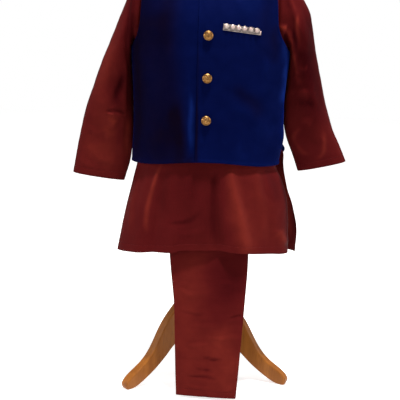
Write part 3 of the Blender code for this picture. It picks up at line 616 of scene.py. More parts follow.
def buildMaterial(name, look):
    # two colours mixed, painted light and shade where the cloth has it, thin layers over them, then finish and
    # relief
    material, tree, shader = newMaterial(name, **look["shader"])
    broad, fine, grit = look["scales"]
    seed = look["seed"]
    groups = [useGroup(tree, patchGroup, (-900, 200), Broad=broad, Fine=fine, Grit=grit, Seed=seed)]
    if "weave" in look:
        pitch, slub = look["weave"]
        groups.append(useGroup(tree, weaveGroup, (-900, -200), Thread_Pitch=pitch, Slub=slub, Seed=seed))
    if "grain" in look:
        place = node(tree, "ShaderNodeTexCoord", (-1100, -200))
        groups.append(useGroup(tree, grainGroup, (-900, -200), Seed=seed))
        tree.links.new(place.outputs[look["grain"]], groups[-1].inputs["Vector"])
    sources = {output.name: output for group in groups for output in group.outputs}
    colour = mixColour(tree, (-500, 200), sources[look["mix"]], *look["colours"])
    if "lies" in look:
        colour = paintLightAndShade(tree, colour, *look["lies"])
    for k, (source, low, high, tint) in enumerate(look["layers"]):
        if len(tint) == 2:
            which, share = tint
            tint = tuple(min(c * share, 1) for c in look["colours"][which])
        share = spreadValue(tree, (-300 + 200 * k, 0), sources[source], low, high)
        colour = mixColour(tree, (100 + 200 * k, 200), share, colour, tint)
    tree.links.new(colour, shader.inputs["Base Color"])
    for k, (label, source, low, high) in enumerate(look["finish"]):
        spread = spreadValue(tree, (100, -100 - 160 * k), sources[source], low, high)
        tree.links.new(spread, shader.inputs[label])
    addBumps(tree, shader, *((sources[source], strength, depth) for source, strength, depth in look["bumps"]))
    return material


metal = {
    "shader": {"Metallic": 1.0}, "scales": (90.0, 420.0, 2500.0), "seed": 2.0, "mix": "Broad",
    "bumps": (("Fine", 0.12, 0.0003), ("Grit", 0.1, 0.00008)),
}
# scales and seed of the patches; weave is thread pitch in metres and slubs; lies holds the
# painted-shade colour and the painted-highlight colour; a layer is its source, least and greatest share, and a
# colour or one of the two colours by its number and strength; finish is socket, source, least and greatest
# value; a bump is source, strength and depth in metres
looks = {
    "maroonSilk": {
        "shader": {"Specular_IOR_Level": 0.02, "Specular_Tint": (1.0, 0.30, 0.25, 1)},
        "scales": (8.0, 45.0, 900.0), "seed": 1.0, "weave": (0.00045, 0.8), "mix": "Broad",
        "colours": ((0.082, 0.0062, 0.0072), (0.100, 0.0092, 0.0086)),
        # painted-shade colour and painted-highlight colour of the silk
        "lies": ((0.020, 0.0008, 0.0024), (0.225, 0.0270, 0.0170)),
        "layers": (("Fine", 0.0, 0.3, (0, 0.72)), ("Slubs", 0.0, 0.2, (1, 1.4))),
        "finish": (("Roughness", "Fine", 0.42, 0.54),),
        "bumps": (("Height", 0.25, 0.00006), ("Fine", 0.12, 0.0006))},
    "blueVelvet": {
        "shader": {"Specular_IOR_Level": 0.02, "Sheen_Weight": 0.16, "Sheen_Roughness": 0.3,
                   "Sheen_Tint": (0.010, 0.05, 0.66, 1)},
        "scales": (7.0, 38.0, 2600.0), "seed": 3.0, "mix": "Broad",
        "colours": ((0.0006, 0.0028, 0.0385), (0.0009, 0.0040, 0.0500)),
        # painted-shade colour and painted-highlight colour of the velvet
        "lies": ((0.0030, 0.0007, 0.0060), (0.0050, 0.0180, 0.1400)),
        "layers": (("Fine", 0.0, 0.3, (0, 0.5)),),
        "finish": (("Roughness", "Fine", 0.78, 0.95),),
        "bumps": (("Grit", 0.5, 0.0002), ("Fine", 0.15, 0.0008))},
    "formCover": {
        "shader": {"Sheen_Weight": 0.15, "Sheen_Roughness": 0.5},
        "scales": (6.0, 70.0, 900.0), "seed": 5.0, "weave": (0.0009, 0.4), "mix": "Broad",
        "colours": ((0.62, 0.57, 0.48), (0.70, 0.66, 0.58)),
        "layers": (("Thread", 0.5, 0.0, (0.44, 0.39, 0.32)),),
        "finish": (("Roughness", "Fine", 0.78, 0.9),),
        "bumps": (("Height", 0.5, 0.00012),)},
    "oiledWood": {
        "shader": {"Specular_IOR_Level": 0.22, "Coat_Roughness": 0.35},
        "scales": (14.0, 80.0, 900.0), "seed": 4.0, "grain": "Object", "mix": "Rings",
        "colours": ((0.385, 0.128, 0.018), (0.255, 0.076, 0.009)),
        "layers": (("Broad", 0.0, 0.4, (0, 0.8)), ("Pores", 0.0, 0.45, (1, 0.35))),
        "finish": (("Roughness", "Rings", 0.36, 0.5), ("Coat Weight", "Broad", 0.02, 0.10)),
        "bumps": (("Pores", -0.3, 0.0002), ("Rings", 0.15, 0.0003))},
    "antiqueGold": {
        **metal, "colours": ((0.62, 0.33, 0.12), (0.40, 0.19, 0.055)),
        "layers": (("Fine", 0.0, 0.85, (1, 0.35)),), "finish": (("Roughness", "Fine", 0.28, 0.48),)},
    "trimMetal": {
        **metal, "colours": ((0.66, 0.56, 0.52), (0.48, 0.40, 0.37)),
        "layers": (("Fine", 0.0, 0.6, (1, 0.35)),), "finish": (("Roughness", "Fine", 0.26, 0.46),)},
    "pearlyStone": {
        "shader": {"Specular_IOR_Level": 0.4, "Coat_Roughness": 0.06, "IOR": 1.55},
        "scales": (110.0, 420.0, 1500.0), "seed": 8.0, "mix": "Broad",
        "colours": ((0.58, 0.36, 0.34), (0.52, 0.48, 0.38)),
        "layers": (("Fine", 0.0, 0.5, (0.66, 0.54, 0.54)),),
        "finish": (("Roughness", "Fine", 0.08, 0.22), ("Coat Weight", "Broad", 0.1, 0.35)),
        "bumps": (("Fine", 0.15, 0.0003),)},
    "maroonThread": {
        "shader": {"Specular_IOR_Level": 0.08},
        "scales": (30.0, 300.0, 3000.0), "seed": 6.0, "mix": "Fine",
        "colours": ((0.070, 0.0050, 0.0055), (0.112, 0.0080, 0.0088)),
        "layers": (), "finish": (("Roughness", "Fine", 0.4, 0.6),),
        "bumps": (("Grit", 0.4, 0.0001),)},
}
silk, velvet, cover, wood, gold, silver, stone, thread = (buildMaterial(*entry) for entry in looks.items())
print("materials ready")


# The kurta's front and back
# Creases: x0 z0 x1 z1 bend width height lean
kurtaPiece = {
    "frontCreases": (
        (-89, 470, -122, 334, 6, 5, 2.6, 0.25),
        (-74, 462, -96, 372, 4, 8, -1.6, 0.2),
        (-132, 452, -150, 330, 3, 7, 1.6, 0.5),
        (18, 472, 31, 300, 8, 11, -4.2, -0.25),
        (47, 470, 88, 285, 3, 12, 5.0, -0.35),
        (96, 470, 118, 330, -4, 9, 1.8, -0.4),
        (-70, 356, -10, 380, 9, 6, -1.6, 0.5),
        (-52, 340, 2, 352, 8, 8, 1.5, 0.3),
        (150, 340, 178, 306, -3, 8, 2.2, 0.4),
        (118, 462, 136, 400, 2, 6, -1.6, 0.3),
        (-30, 466, -36, 400, -2, 9, 1.2, 0.6),
        (-4, 420, -12, 300, 3, 10, 1.4, 0.4)),
    "backCreases": (
        (-92, 468, -124, 300, 6, 12, 4.0, 0.3),
        (-50, 470, -66, 318, -5, 10, -3.2, 0.3),
        (6, 462, -6, 290, 6, 13, 3.6, -0.3),
        (52, 470, 70, 330, 5, 10, -3.0, -0.3),
        (100, 466, 132, 292, -5, 13, 3.8, 0.3),
        (-20, 372, 38, 352, -8, 8, 1.6, 0.5),
        (-150, 420, -168, 330, 2, 8, 1.8, 0.4),
        (150, 430, 182, 340, -4, 9, 2.0, 0.4)),
    # painted shade and painted highlight on the satin, placed as the creases are, with the height as the amount
    "frontPaintedLight": (
        (-90, 468, -118, 338, 7, 4.0, 0.55, 0),
        (-70, 470, -84, 372, 4, 9, -0.24, 0),
        (-24, 480, -16, 300, 4, 40, -0.34, 0),
        (22, 470, 30, 306, 7, 7, -0.28, 0),
        (-66, 360, -10, 378, 9, 6, -0.14, 0),
        (50, 474, 90, 296, 3, 18, 0.32, 0),
        (100, 480, 118, 300, 0, 34, 0.20, 0),
        (150, 332, 176, 312, -3, 11, 0.36, 0),
        (-168, 474, -200, 296, 0, 7, -0.6, 0),
        (128, 478, 156, 400, 3, 9, -0.34, 0),
        (146, 474, 177, 330, -8, 4, -0.75, 0),
        (177, 340, 177, 296, 0, 3, -0.6, 0),
        (-140, 860, -140, 740, 0, 10, -0.8, 0),
        (140, 860, 140, 790, 0, 9, -0.3, 0)),
    "backPaintedLight": (
        (-92, 468, -124, 300, 6, 14, 0.24, 0),
        (6, 462, -6, 290, 6, 15, 0.22, 0),
        (100, 466, 132, 292, -5, 15, 0.24, 0),
        (-50, 470, -66, 318, -5, 12, -0.26, 0),
        (52, 470, 70, 330, 5, 12, -0.26, 0),
        (168, 450, 190, 300, -3, 9, 0.40, 0),
        (186, 450, 207, 300, -3, 5, -0.8, 0)),
    "hemWidth": 16.0, "slitWidth": 9.0, "columns": 104, "field": 0.55,
}
bodyLevels = stations((302, 470, 3.0), (470, 700, 5.5), (700, 714.6, 2.6), (714.6, 722, 0.6), (722, 740, 1.8),
                      (740, 852, 4.5), (852, 889, 0.9))


def kurtaPanel(name, front, creases, seed):
    hem = body["kurtaHemFront" if front else "kurtaHemBack"]
    width = kurtaPiece["hemWidth"]
    near = [hem + d for d in (0, 0.5, 1.3, 3, 6, 9, 12, width - 1.4, width - 0.5, width + 0.5, width + 1.6)]
    between = stations((near[-1] + 2, 302, 2.6))
    levels = np.concatenate([near, between[:-1], bodyLevels])
    slit = kurtaPiece["slitWidth"]
    steps = [0, 0.4, 1.0, 2.0, 4.0, 6.2, slit - 1.2, slit - 0.4, slit + 0.5, slit + 1.6]
    middle, side = (0.0, 1) if front else (math.pi, -1)

    def start(z):
        return middle - kurtaEnd(front, z, -side)

    def end(z):
        return middle + kurtaEnd(front, z, side)

    level, phi, inner, normals = panelGrid(kurtaForm, levels, start, end, kurtaPiece["columns"], steps)
    fromSide = np.minimum(runLength(inner, 1), runLength(inner[:, ::-1], 1)[:, ::-1])
    fromHem = level - hem
    below = smooth(body["jacketHem"], 448, level)                # free of the waistcoat
    x, z = inner[..., 0], inner[..., 2]
    rise = creaseRise(creases, x, z) * below
    rise += below * (1.1 * unevenness(inner, (34, 60, 90), seed)
                     + 0.45 * unevenness(inner, (11, 20, 26), seed + 7))
    slitHere = smooth(body["slitTop"], 500, level)
    hemBand = 1 - smooth(width - 0.8, width + 0.8, fromHem)
    slitBand = (1 - smooth(slit - 0.7, slit + 0.7, fromSide)) * slitHere
    band = np.maximum(hemBand, slitBand)
    groove = np.exp(-((fromHem - width) / 1.0) ** 2) + slitHere * np.exp(-((fromSide - slit) / 0.9) ** 2)
    rise += band * 0.30 - 0.30 * np.minimum(groove, 1.0) * below
    sewn = (1 - slitHere) * np.maximum(1 - fromSide / 2.2, 0) ** 2     # the cloth turns in at a seam
    rise -= 0.55 * sewn
    edge = np.minimum(fromHem, np.where(slitHere > 0.5, fromSide, 99))
    turned = np.maximum(1 - edge / 1.3, 0) ** 2
    outer = inner + normals * (body["cloth"] + rise - 0.35 * turned)[..., None]
    thick = kurtaPiece["field"] + 0.75 * band
    innerSide = outer - normals * (thick * (1 - 0.25 * turned))[..., None]
    # painted light and shade: fold ridges painted lighter, fold hollows darker, plus the listed strokes
    lie = 0.05 * rise + creaseRise(kurtaPiece["frontPaintedLight" if front else "backPaintedLight"], x, z)
    item = makeCloth(name, outer, innerSide, silk, lie)
    hemRow = int(np.argmin(np.abs(levels - (hem + width))))
    slitRows = levels < 506
    outNormals = gridNormals(outer)
    onCloth = outer + outNormals * 0.12
    lines = [(onCloth[hemRow, 8:-8], outNormals[hemRow, 8:-8])]
    lines += [(onCloth[slitRows, column], outNormals[slitRows, column]) for column in (7, -8)]
    return item, lines


kurtaFront, frontLines = kurtaPanel("kurtaFront", True, kurtaPiece["frontCreases"], 3.1)
kurtaBack, backLines = kurtaPanel("kurtaBack", False, kurtaPiece["backCreases"], 8.4)
print("kurta panels:", len(kurtaFront.data.polygons), len(kurtaBack.data.polygons))


# Sleeves
sleeveColumns = "ring outerX outerZ innerX innerZ half centre keep"
sleevePieces = {
    "sleeveLeft": {
        "side": 1, "seed": 21.0, "lap": 0.0,
        "lines": SmoothTable(sleeveColumns, (
            (0, 139.8, 859, 150.0, 716.3, 40, 2, 1.0),
            (1, 153, 854, 153.5, 717.6, 42, 2, 0.72),
            (2, 172, 838, 157.0, 715.6, 42, 3, 0.42),
            (3, 192, 811, 162.6, 711.5, 42, 4, 0.2),
            (4, 208, 783, 167.6, 706, 41, 5, 0.06),
            (5, 215, 754, 168.8, 691, 38, 7, 0),
            (6, 221, 722, 168.6, 668, 34, 9, 0),
            (7, 229, 684, 167.8, 640, 31, 11, 0),
            (8, 241, 634, 163.4, 605, 28, 13, 0),
            (9, 254, 585, 164.8, 562, 25, 15, 0),
            (10, 268, 545, 174.4, 520, 22, 17, 0),
            (11, 284, 510, 188.5, 484, 19, 19, 0),
            (12, 301, 473, 201, 451, 16, 20, 0))),
        # ring, share of the turn, reach along and round, rise
        "folds": ((5.2, 0.44, 1.6, 0.13, 5.0), (6.4, 0.66, 1.7, 0.12, -4.5), (8.6, 0.36, 1.4, 0.14, 4.0),
                  (9.6, 0.62, 1.0, 0.14, -4.0), (8.0, 1.5, 1.6, 0.16, -4.5), (6.6, 1.28, 1.8, 0.15, 4.5)),
        "front": (
            (136, 756, 158, 752, 1, 6, 4.5, 0.2),
            (156, 753, 184, 664, -5, 6, 5.0, -0.3),
            (152, 740, 166, 708, -1, 6, -3.0, 0.0),
            (166, 800, 204, 700, 5, 7, 3.4, -0.5),
            (178, 742, 188, 690, -2, 5, -2.4, 0.2),
            (184, 796, 214, 716, 3, 8, 2.2, 0.5),
            (188, 676, 204, 672, 2, 4, 2.0, 0.3),
            (184, 664, 192, 640, 2, 5, 2.2, 0.3),
            (184, 616, 212, 622, -5, 5, 2.4, 0.5),
            (206, 604, 226, 590, -3, 6, -2.2, 0.3),
            (200, 562, 222, 560, -3, 7, 1.8, 0.3),
            (200, 542, 188, 512, 6, 5, 2.0, 0.4),
            (194, 506, 220, 492, 4, 5, 1.8, -0.4),
            (244, 530, 250, 492, -6, 6, 2.2, 0.4),
            (222, 640, 236, 588, 3, 8, 1.6, 0.5),
            (214, 530, 232, 508, -4, 7, -1.8, 0.3)),
        # painted shade and painted highlight, placed as the creases are, with the height as the amount
        "lies": (
            (208, 860, 246, 560, 4, 30, -0.88, 0),
            (172, 820, 196, 560, 4, 32, -0.42, 0),
            (196, 560, 220, 470, 0, 40, -0.18, 0),
            (138, 755, 158, 752, 1, 4.5, 1.0, 0),
            (156, 753, 184, 664, -5, 4.5, 0.95, 0),
            (152, 740, 165, 712, -1, 6, -1.0, 0),
            (148, 838, 166, 790, 2, 6, -0.55, 0),
            (156, 852, 178, 780, 5, 5, 0.50, 0),
            (178, 780, 190, 704, 3, 5.5, 0.95, 0),
            (172, 752, 182, 700, 0, 4.5, -0.6, 0),
            (190, 675, 206, 671, 1, 5, 0.45, 0),
            (182, 668, 192, 636, -2, 6, 0.5, 0),
            (172, 616, 212, 616, -7, 7, 0.4, 0),
            (190, 598, 222, 596, -2, 8, -0.3, 0),
            (198, 566, 224, 558, 2, 7, 0.3, 0),
            (200, 548, 186, 516, 4, 6, 0.36, 0),
            (188, 516, 222, 486, 4, 6, 0.36, 0),
            (246, 540, 242, 480, -8, 6, 0.42, 0)),
        "back": (
            (160, 760, 200, 660, 8, 9, 3.6, 0.3),
            (182, 790, 214, 700, -6, 8, 2.8, -0.4),
            (176, 650, 226, 620, -8, 7, 3.0, 0.4),
            (184, 600, 236, 576, -8, 8, -2.6, 0.3),
            (200, 560, 246, 540, 6, 8, 2.4, 0.4),
            (220, 530, 240, 480, -4, 8, 2.0, 0.4))},
    "sleeveRight": {
        "side": -1, "seed": 33.0, "lap": 1.9,
        "lines": SmoothTable(sleeveColumns, (
            (0, 139.8, 859, 147.5, 716.3, 40, 2, 1.0),
            (1, 149, 851, 154.0, 719.0, 42, 2, 0.72),
            (2, 158, 833, 155.4, 716.6, 42, 3, 0.42),
            (3, 168, 806, 156.4, 711, 42, 4, 0.2),
            (4, 181, 774, 158.0, 703, 41, 5, 0.06),
            (5, 193, 744, 158.4, 690, 38, 7, 0),
            (6, 206, 711, 159.4, 668, 34, 9, 0),
            (7, 222, 671, 157.8, 640, 31, 11, 0),
            (8, 238, 625, 156.4, 605, 28, 13, 0),
            (9, 254, 580, 155.6, 562, 25, 15, 0),
            (10, 265, 532, 156.4, 520, 22, 17, 0),
            (11, 275, 482, 160.5, 472, 19, 19, 0),
            (12, 283, 435, 175, 421, 16, 20, 0))),
        "folds": ((5.6, 0.40, 2.0, 0.14, 4.5), (7.6, 0.60, 0.9, 0.20, -5.5), (8.9, 0.52, 0.9, 0.18, 4.0),
                  (9.9, 0.36, 1.0, 0.16, -3.5), (7.8, 1.46, 1.3, 0.17, -5.0), (9.2, 1.56, 1.2, 0.18, 4.5)),
        "front": (
            (-158, 806, -166, 680, 2, 4, -2.8, 0.4),
            (-170, 676, -172, 570, -2, 5, 2.6, 0.3),
            (-176, 640, -206, 572, -6, 8, -3.4, 0.3),
            (-212, 568, -172, 563, -3, 4.5, -3.4, -0.7),
            (-206, 560, -190, 545, 3, 7, 2.6, 0.2),
            (-246, 538, -222, 528, 4, 7, 1.8, 0.4),
            (-216, 532, -200, 512, -4, 9, 2.0, 0.3),
            (-172, 556, -174, 470, 3, 7, 1.8, 0.4),
            (-200, 700, -216, 620, -4, 9, 1.6, 0.5),
            (-236, 480, -190, 462, 3, 8, 1.8, 0.3),
            (-262, 470, -240, 450, 2, 7, 1.4, 0.4)),
        # painted shade and painted highlight, placed as the creases are, with the height as the amount
        "lies": (
            (-152, 860, -158, 740, 0, 9, -0.75, 0),
            (-158, 750, -158, 560, 0, 13, -1.1, 0),
            (-186, 830, -240, 600, -6, 19, 0.50, 0),
            (-214, 600, -232, 430, 0, 44, 0.20, 0),
            (-176, 656, -190, 574, 3, 9, -0.75, 0),
            (-208, 571, -172, 566, -2, 5, -0.5, 0),
            (-180, 566, -182, 500, 0, 6, -0.32, 0),
            (-204, 560, -190, 548, 2, 6, 0.5, 0),
            (-214, 540, -196, 520, 2, 8, 0.30, 0),
            (-164, 556, -168, 480, 1, 6, 0.55, 0),
            (-256, 500, -196, 470, -4, 20, 0.24, 0),
            (-236, 540, -226, 500, 0, 16, -0.12, 0)),
        "back": (
            (-156, 770, -190, 670, -8, 9, 3.4, 0.3),
            (-174, 650, -224, 616, 8, 8, 3.0, 0.4),
            (-176, 596, -236, 566, 8, 8, -3.0, 0.3),
            (-190, 540, -246, 520, -6, 8, 2.4, 0.4),
            (-214, 500, -232, 446, 4, 8, 2.0, 0.4))},
}
cuff = {"hem": 15.0, "around": 108, "lastRing": 12.0}
# rays run in from outside to find the garments under a sleeve; body is the least distance of a find that counts
clearance = {"reach": 190, "outside": 300, "body": 120, "firstRing": 0.05, "fade": (0.3, 1.0), "smoothing": 6}


def armholeRing(side, count):
    # Seam points from the armhole's top down the front and up the back, and the cloth's normals there.
    low, high = kurtaArmhole.keys[0], kurtaArmhole.keys[-1]
    share = np.linspace(0, 1, count // 2 + 1)
    levels = high - (high - low) * (1 - (1 - share) ** 1.8) ** 0.9
    levels[-1] = low
    inside = np.clip(levels, low + 1e-3, high - 1e-3)
    frontPhi = side * kurtaEnd(True, inside, side)
    backPhi = math.pi - side * kurtaEnd(False, inside, side)
    frontPhi[[0, -1]] = side * math.pi / 2
    level = np.concatenate([levels, levels[-2:0:-1]])
    phi = np.concatenate([frontPhi, backPhi[-2:0:-1]])
    return kurtaForm(level, phi), normalOf(kurtaForm, level, phi)


def treeOf(item):
    # a piece's faces for ray tests, in millimetres from the pole
    points = (np.array([v.co for v in item.data.vertices]) - standPlace) / mm
    return BVHTree.FromPolygons(points.tolist(), [p.vertices[:] for p in item.data.polygons])


def clearOf(outer, side, ring, garments):
    # how far out the sleeve has to move to lie on the garments under it
    push = np.zeros(outer.shape[:2])
    inReach = (side * outer[..., 0] < clearance["reach"]) & (ring[:, None] > clearance["firstRing"])
    for tree, top, gap in garments:
        for i, j in np.argwhere((outer[..., 2] < top) & inReach):
            x, y, z = outer[i, j]
            found = tree.ray_cast(Vector((side * clearance["outside"], y, z)), Vector((-side, 0, 0)))[0]
            if found is not None and found.x * side > clearance["body"]:
                push[i, j] = max(push[i, j], found.x * side + gap - x * side)
    near = (-2, -1, 0, 1, 2)
    wide = np.max([np.roll(push, (a, b), (0, 1)) for a in near for b in near], axis=0)
    for _ in range(clearance["smoothing"]):
        wide = sum(np.roll(wide, a, axis) for axis in (0, 1) for a in (-1, 1)) / 4
    return np.maximum(push, wide * smooth(*clearance["fade"], ring)[:, None])


def buildSleeve(name, piece, garments):
    side, lines, count = piece["side"], piece["lines"], cuff["around"]
    seam, seamNormal = armholeRing(side, count)
    along = unit(np.roll(seam, -1, 0) - np.roll(seam, 1, 0))
    away = unit(np.cross(along, seamNormal))
    # out along the arm, and up at the armhole's foot
    footLevel = kurtaArmhole.keys[0]
    foot = np.exp(-((seam[:, 2] - footLevel) / 6) ** 2)
    away *= np.sign(away[:, 0] * side + away[:, 2] * (0.35 + 4 * foot))[:, None]
    seam = seam + away * body["seam"]
    half = count // 2
    step = np.linalg.norm(np.roll(seam, -1, 0) - seam, axis=1)
    run = np.concatenate([[0], np.cumsum(step)])
    returning = 1 + (run[:-1] - run[half]) / (run[-1] - run[half])
    share = np.where(np.arange(count) <= half, run[:-1] / run[half], returning)
    rings = np.concatenate([stations((0, 0.12, 0.03), (0.12, 11.2, 0.105))[:-1],
                            stations((11.2, cuff["lastRing"], 0.045))])
    row = {k: v[:, None] for k, v in lines.at(rings).items()}

    def ringPoint(row, share):
        turn = math.pi * share
        x = (row["outerX"] + row["innerX"]) / 2 + (row["outerX"] - row["innerX"]) / 2 * np.cos(turn)
        z = (row["outerZ"] + row["innerZ"]) / 2 + (row["outerZ"] - row["innerZ"]) / 2 * np.cos(turn)
        rise = sum(r * np.exp(-((row["ring"] - ring) / lr) ** 2 - ((share - st) / lt) ** 2)
                   for ring, st, lr, lt, r in piece["folds"])
        y = row["centre"] - row["half"] * np.sin(turn) - rise * np.copysign(1, np.sin(turn))
        return np.stack(np.broadcast_arrays(side * x, y, z), -1)

    start = {k: v[:1] for k, v in row.items()}
    base = ringPoint(row, share[None, :])
    own = seam[None, :, :] - ringPoint(start, share[None, :])
    base = base + own * row["keep"][..., None]
    normals = ringNormals(base)
    # near the armhole the sleeve takes the body's own direction, so the seam lies flush
    flush = np.exp(-(rings / 0.35) ** 2)[:, None, None]
    normals = unit(normals * (1 - flush) + seamNormal[None] * flush)
    x, z = base[..., 0], base[..., 2]
    turn = np.sin(math.pi * share)[None, :]
    frontShare, backShare = np.clip(turn, 0, 1) ** 0.6, np.clip(-turn, 0, 1) ** 0.6
    free = smooth(0.15, 1.6, row["ring"])
    rise = creaseRise(piece["front"], x, z) * frontShare + creaseRise(piece["back"], x, z) * backShare
    seed = piece["seed"]
    rise += 0.9 * unevenness(base, (30, 40, 44), seed) + 0.4 * unevenness(base, (10, 16, 13), seed + 5)
    toHem = runLength(base[::-1], 0)[::-1]
    hem = cuff["hem"]
    band = 1 - smooth(hem - 0.8, hem + 0.8, toHem)
    groove = np.exp(-((toHem - hem) / 1.0) ** 2)
    turned = np.maximum(1 - toHem / 1.3, 0) ** 2
    fromSeam = runLength(base, 0)
    rise = rise * free * (1 - 0.6 * band) + band * 0.30 - 0.30 * groove - 0.35 * turned
    rise -= 0.55 * np.maximum(1 - fromSeam / 2.2, 0) ** 2
    rise += piece["lap"] * np.exp(-((seam[:, 2] - footLevel) / 4) ** 2) * np.exp(-(fromSeam / 5) ** 2)
    outer = base + normals * (body["cloth"] + rise)[..., None]
    inner = outer - normals * (0.55 + 0.7 * band - 0.2 * turned)[..., None]
    push = side * clearOf(outer, side, rings, garments)
    outer[..., 0] += push
    inner[..., 0] += push
    # painted light and shade: ridges lighter, hollows darker, the listed strokes on the front, and painted shade
    # along the armhole seam
    lie = 0.05 * rise + creaseRise(piece["lies"], x, z) * frontShare - 0.45 * np.exp(-(fromSeam / 6) ** 2)
    item = makeCloth(name, outer, inner, silk, lie, closed=True)
    hemRow = int(np.argmin(np.abs(toHem.mean(axis=1) - hem)))
    path = np.concatenate([outer[hemRow], outer[hemRow, :1]])
    out = np.concatenate([normals[hemRow], normals[hemRow, :1]])
    return item, [(path + out * 0.12, out)]


# Waistcoat
jacketPiece = {
    # x0 z0 x1 z1 bend width height lean
    "rightCreases": (
        (-34, 650, -32, 476, 0, 8, 2.6, 0.25),
        (-66, 700, -74, 500, 6, 20, 1.6, 0.5),
        (-112, 640, -118, 500, -4, 16, 1.6, 0.4),
        (-100, 560, -60, 520, 6, 14, -1.2, 0.4),
        (-128, 700, -104, 640, 4, 12, 1.2, 0.4),
        (6, 650, 6, 580, 0, 10, -2.0, 0.2)),
    "leftCreases": (
        (34, 632, 128, 566, -10, 16, -2.2, 0.3),
        (60, 600, 132, 540, -8, 18, 2.0, 0.4),
        (118, 700, 132, 620, 4, 11, 1.8, 0.4),
        (-8, 560, -10, 480, 2, 9, 1.2, 0.5),
        (92, 730, 128, 690, 6, 12, -1.4, 0.4),
        (70, 520, 84, 478, 3, 14, 1.2, 0.5)),
    "backCreases": (
        (-90, 700, -30, 640, 10, 20, 2.0, 0.4),
        (96, 706, 34, 640, -10, 20, 2.0, 0.4),
        (-70, 600, 60, 590, -12, 18, -1.8, 0.3),
        (-100, 560, -84, 486, 4, 18, 1.8, 0.4),
        (90, 560, 78, 486, -4, 18, 1.8, 0.4),
        (0, 560, 6, 486, 4, 20, 1.4, 0.4)),
    # painted shade and painted highlight on the velvet, placed as the creases are, with the height as the amount
    "rightPaintedLight": (
        (-132, 900, -132, 440, 0, 44, -0.80, 0),
        (-80, 900, -78, 440, 0, 26, -0.62, 0),
        (-60, 600, -44, 440, 0, 16, -0.62, 0),
        (-150, 900, -150, 440, 0, 12, -0.6, 0),
        (-112, 860, -104, 770, 0, 26, 0.34, 0),
        (-32, 612, -31, 504, 0, 5.0, 0.8, 0),
        (-40, 480, -20, 474, 0, 14, -0.4, 0)),
    "leftPaintedLight": (
        (114, 820, 122, 690, 3, 16, -0.26, 0),
        (134, 760, 138, 680, 2, 10, -0.36, 0),
        (52, 634, 110, 574, -6, 13, -0.40, 0),
        (-21, 720, -19, 600, 0, 3.0, -0.35, 0),
        (-21, 620, -18, 470, 0, 3.4, -0.9, 0),
        (156, 750, 158, 680, 0, 12, 0.40, 0),
        (160, 680, 156, 600, 0, 7, 1.0, 0),
        (60, 850, 92, 780, 0, 30, 0.10, 0)),
    "backPaintedLight": (
        (150, 560, 152, 466, 0, 14, 0.9, 0),
        (-96, 700, -80, 500, 6, 30, -0.3, 0),
        (20, 690, 30, 490, -6, 34, -0.25, 0),
        (96, 700, 90, 500, -6, 24, 0.16, 0),
        (-30, 690, -26, 500, 6, 18, 0.16, 0)),
    "edge": (0, 0.25, 0.6, 1.1, 1.8, 3.2, 5.0, 7.0),
}
jacketLevels = np.concatenate([
    [474, 474.3, 474.8, 475.5, 476.6, 478, 480, 482.5], stations((485, 700, 4.2)),
    stations((701.4, 712, 0.8)), stations((713.5, 745, 2.4)), stations((749, 852, 4.5)),
    stations((853, 889, 0.9))])


def jacketPanel(name, surface, start, end, columns, creases, lies, seed, freeStart, freeEnd):
    level, phi, inner, normals = panelGrid(surface, jacketLevels, start, end, columns, jacketPiece["edge"])
    fromStart, fromEnd = runLength(inner, 1), runLength(inner[:, ::-1], 1)[:, ::-1]
    fromHem = level - body["jacketHem"]
    fromNeck = runLength(inner[::-1], 0)[::-1]
    x, z = inner[..., 0], inner[..., 2]
    ease = smooth(770, 690, level)
    rise = creaseRise(creases, x, z)
    rise += 1.0 * unevenness(inner, (60, 60, 80), seed)
    rise = np.where(rise < 0, rise * 0.7, rise) * ease
    rise += 0.22 * unevenness(inner, (14, 14, 16), seed + 4)

    def freedom(free):
        # a side is a free edge or a seam by its height: vent, side seam, armhole, shoulder seam
        if free:
            return np.ones_like(level)
        hole = smooth(702, 704, level) * smooth(861.6, 861.0, level)
        return np.maximum(smooth(body["slitTop"], 506, level), hole)

    turned = np.zeros_like(level)
    sewn = np.zeros_like(level)
    sides = ((fromStart, freeStart), (fromEnd, freeEnd), (fromHem, True))
    for distance, free in ((distance, freedom(free)) for distance, free in sides):
        turned = np.maximum(turned, np.maximum(1 - distance / 1.1, 0) ** 2 * free)
        # a soft roll beside the edge, where the facing is pressed under
        rise += 0.35 * free * np.exp(-((distance - 3.0) / 2.6) ** 2)
        rise -= 0.22 * free * np.exp(-((distance - 8) / 2.0) ** 2)
        sewn = np.maximum(sewn, (1 - free) * np.maximum(1 - distance / 2.6, 0) ** 2)
    sewn = np.maximum(sewn, np.maximum(1 - fromNeck / 2.6, 0) ** 2)
    outer = inner + normals * (body["velvet"] + rise - 0.9 * turned - 0.9 * sewn)[..., None]
    follow = np.clip(rise, -0.4, 9)
    innerSide = inner + normals * (follow + 0.5 * turned)[..., None]
    # painted light and shade from the listed strokes, with ridges painted a little lighter
    return makeCloth(name, outer, innerSide, velvet, creaseRise(lies, x, z) + 0.04 * rise)


jacketRight = jacketPanel(
    "jacketRight", jacketForm, lambda z: -jacketEnd(True, z, -1), lambda z: angleAtX(z, body["underlap"]),
    60, jacketPiece["rightCreases"], jacketPiece["rightPaintedLight"], 41.0, False, True)
jacketLeft = jacketPanel(
    "jacketLeft", jacketOver, lambda z: angleAtX(z, body["frontEdge"]), lambda z: jacketEnd(True, z, 1),
    64, jacketPiece["leftCreases"], jacketPiece["leftPaintedLight"], 47.0, True, False)
jacketBack = jacketPanel(
    "jacketBack", jacketForm,
    lambda z: math.pi - jacketEnd(False, z, 1), lambda z: math.pi + jacketEnd(False, z, -1),
    104, jacketPiece["backCreases"], jacketPiece["backPaintedLight"], 53.0, False, False)
print("waistcoat:", [len(o.data.polygons) for o in (jacketRight, jacketLeft, jacketBack)])

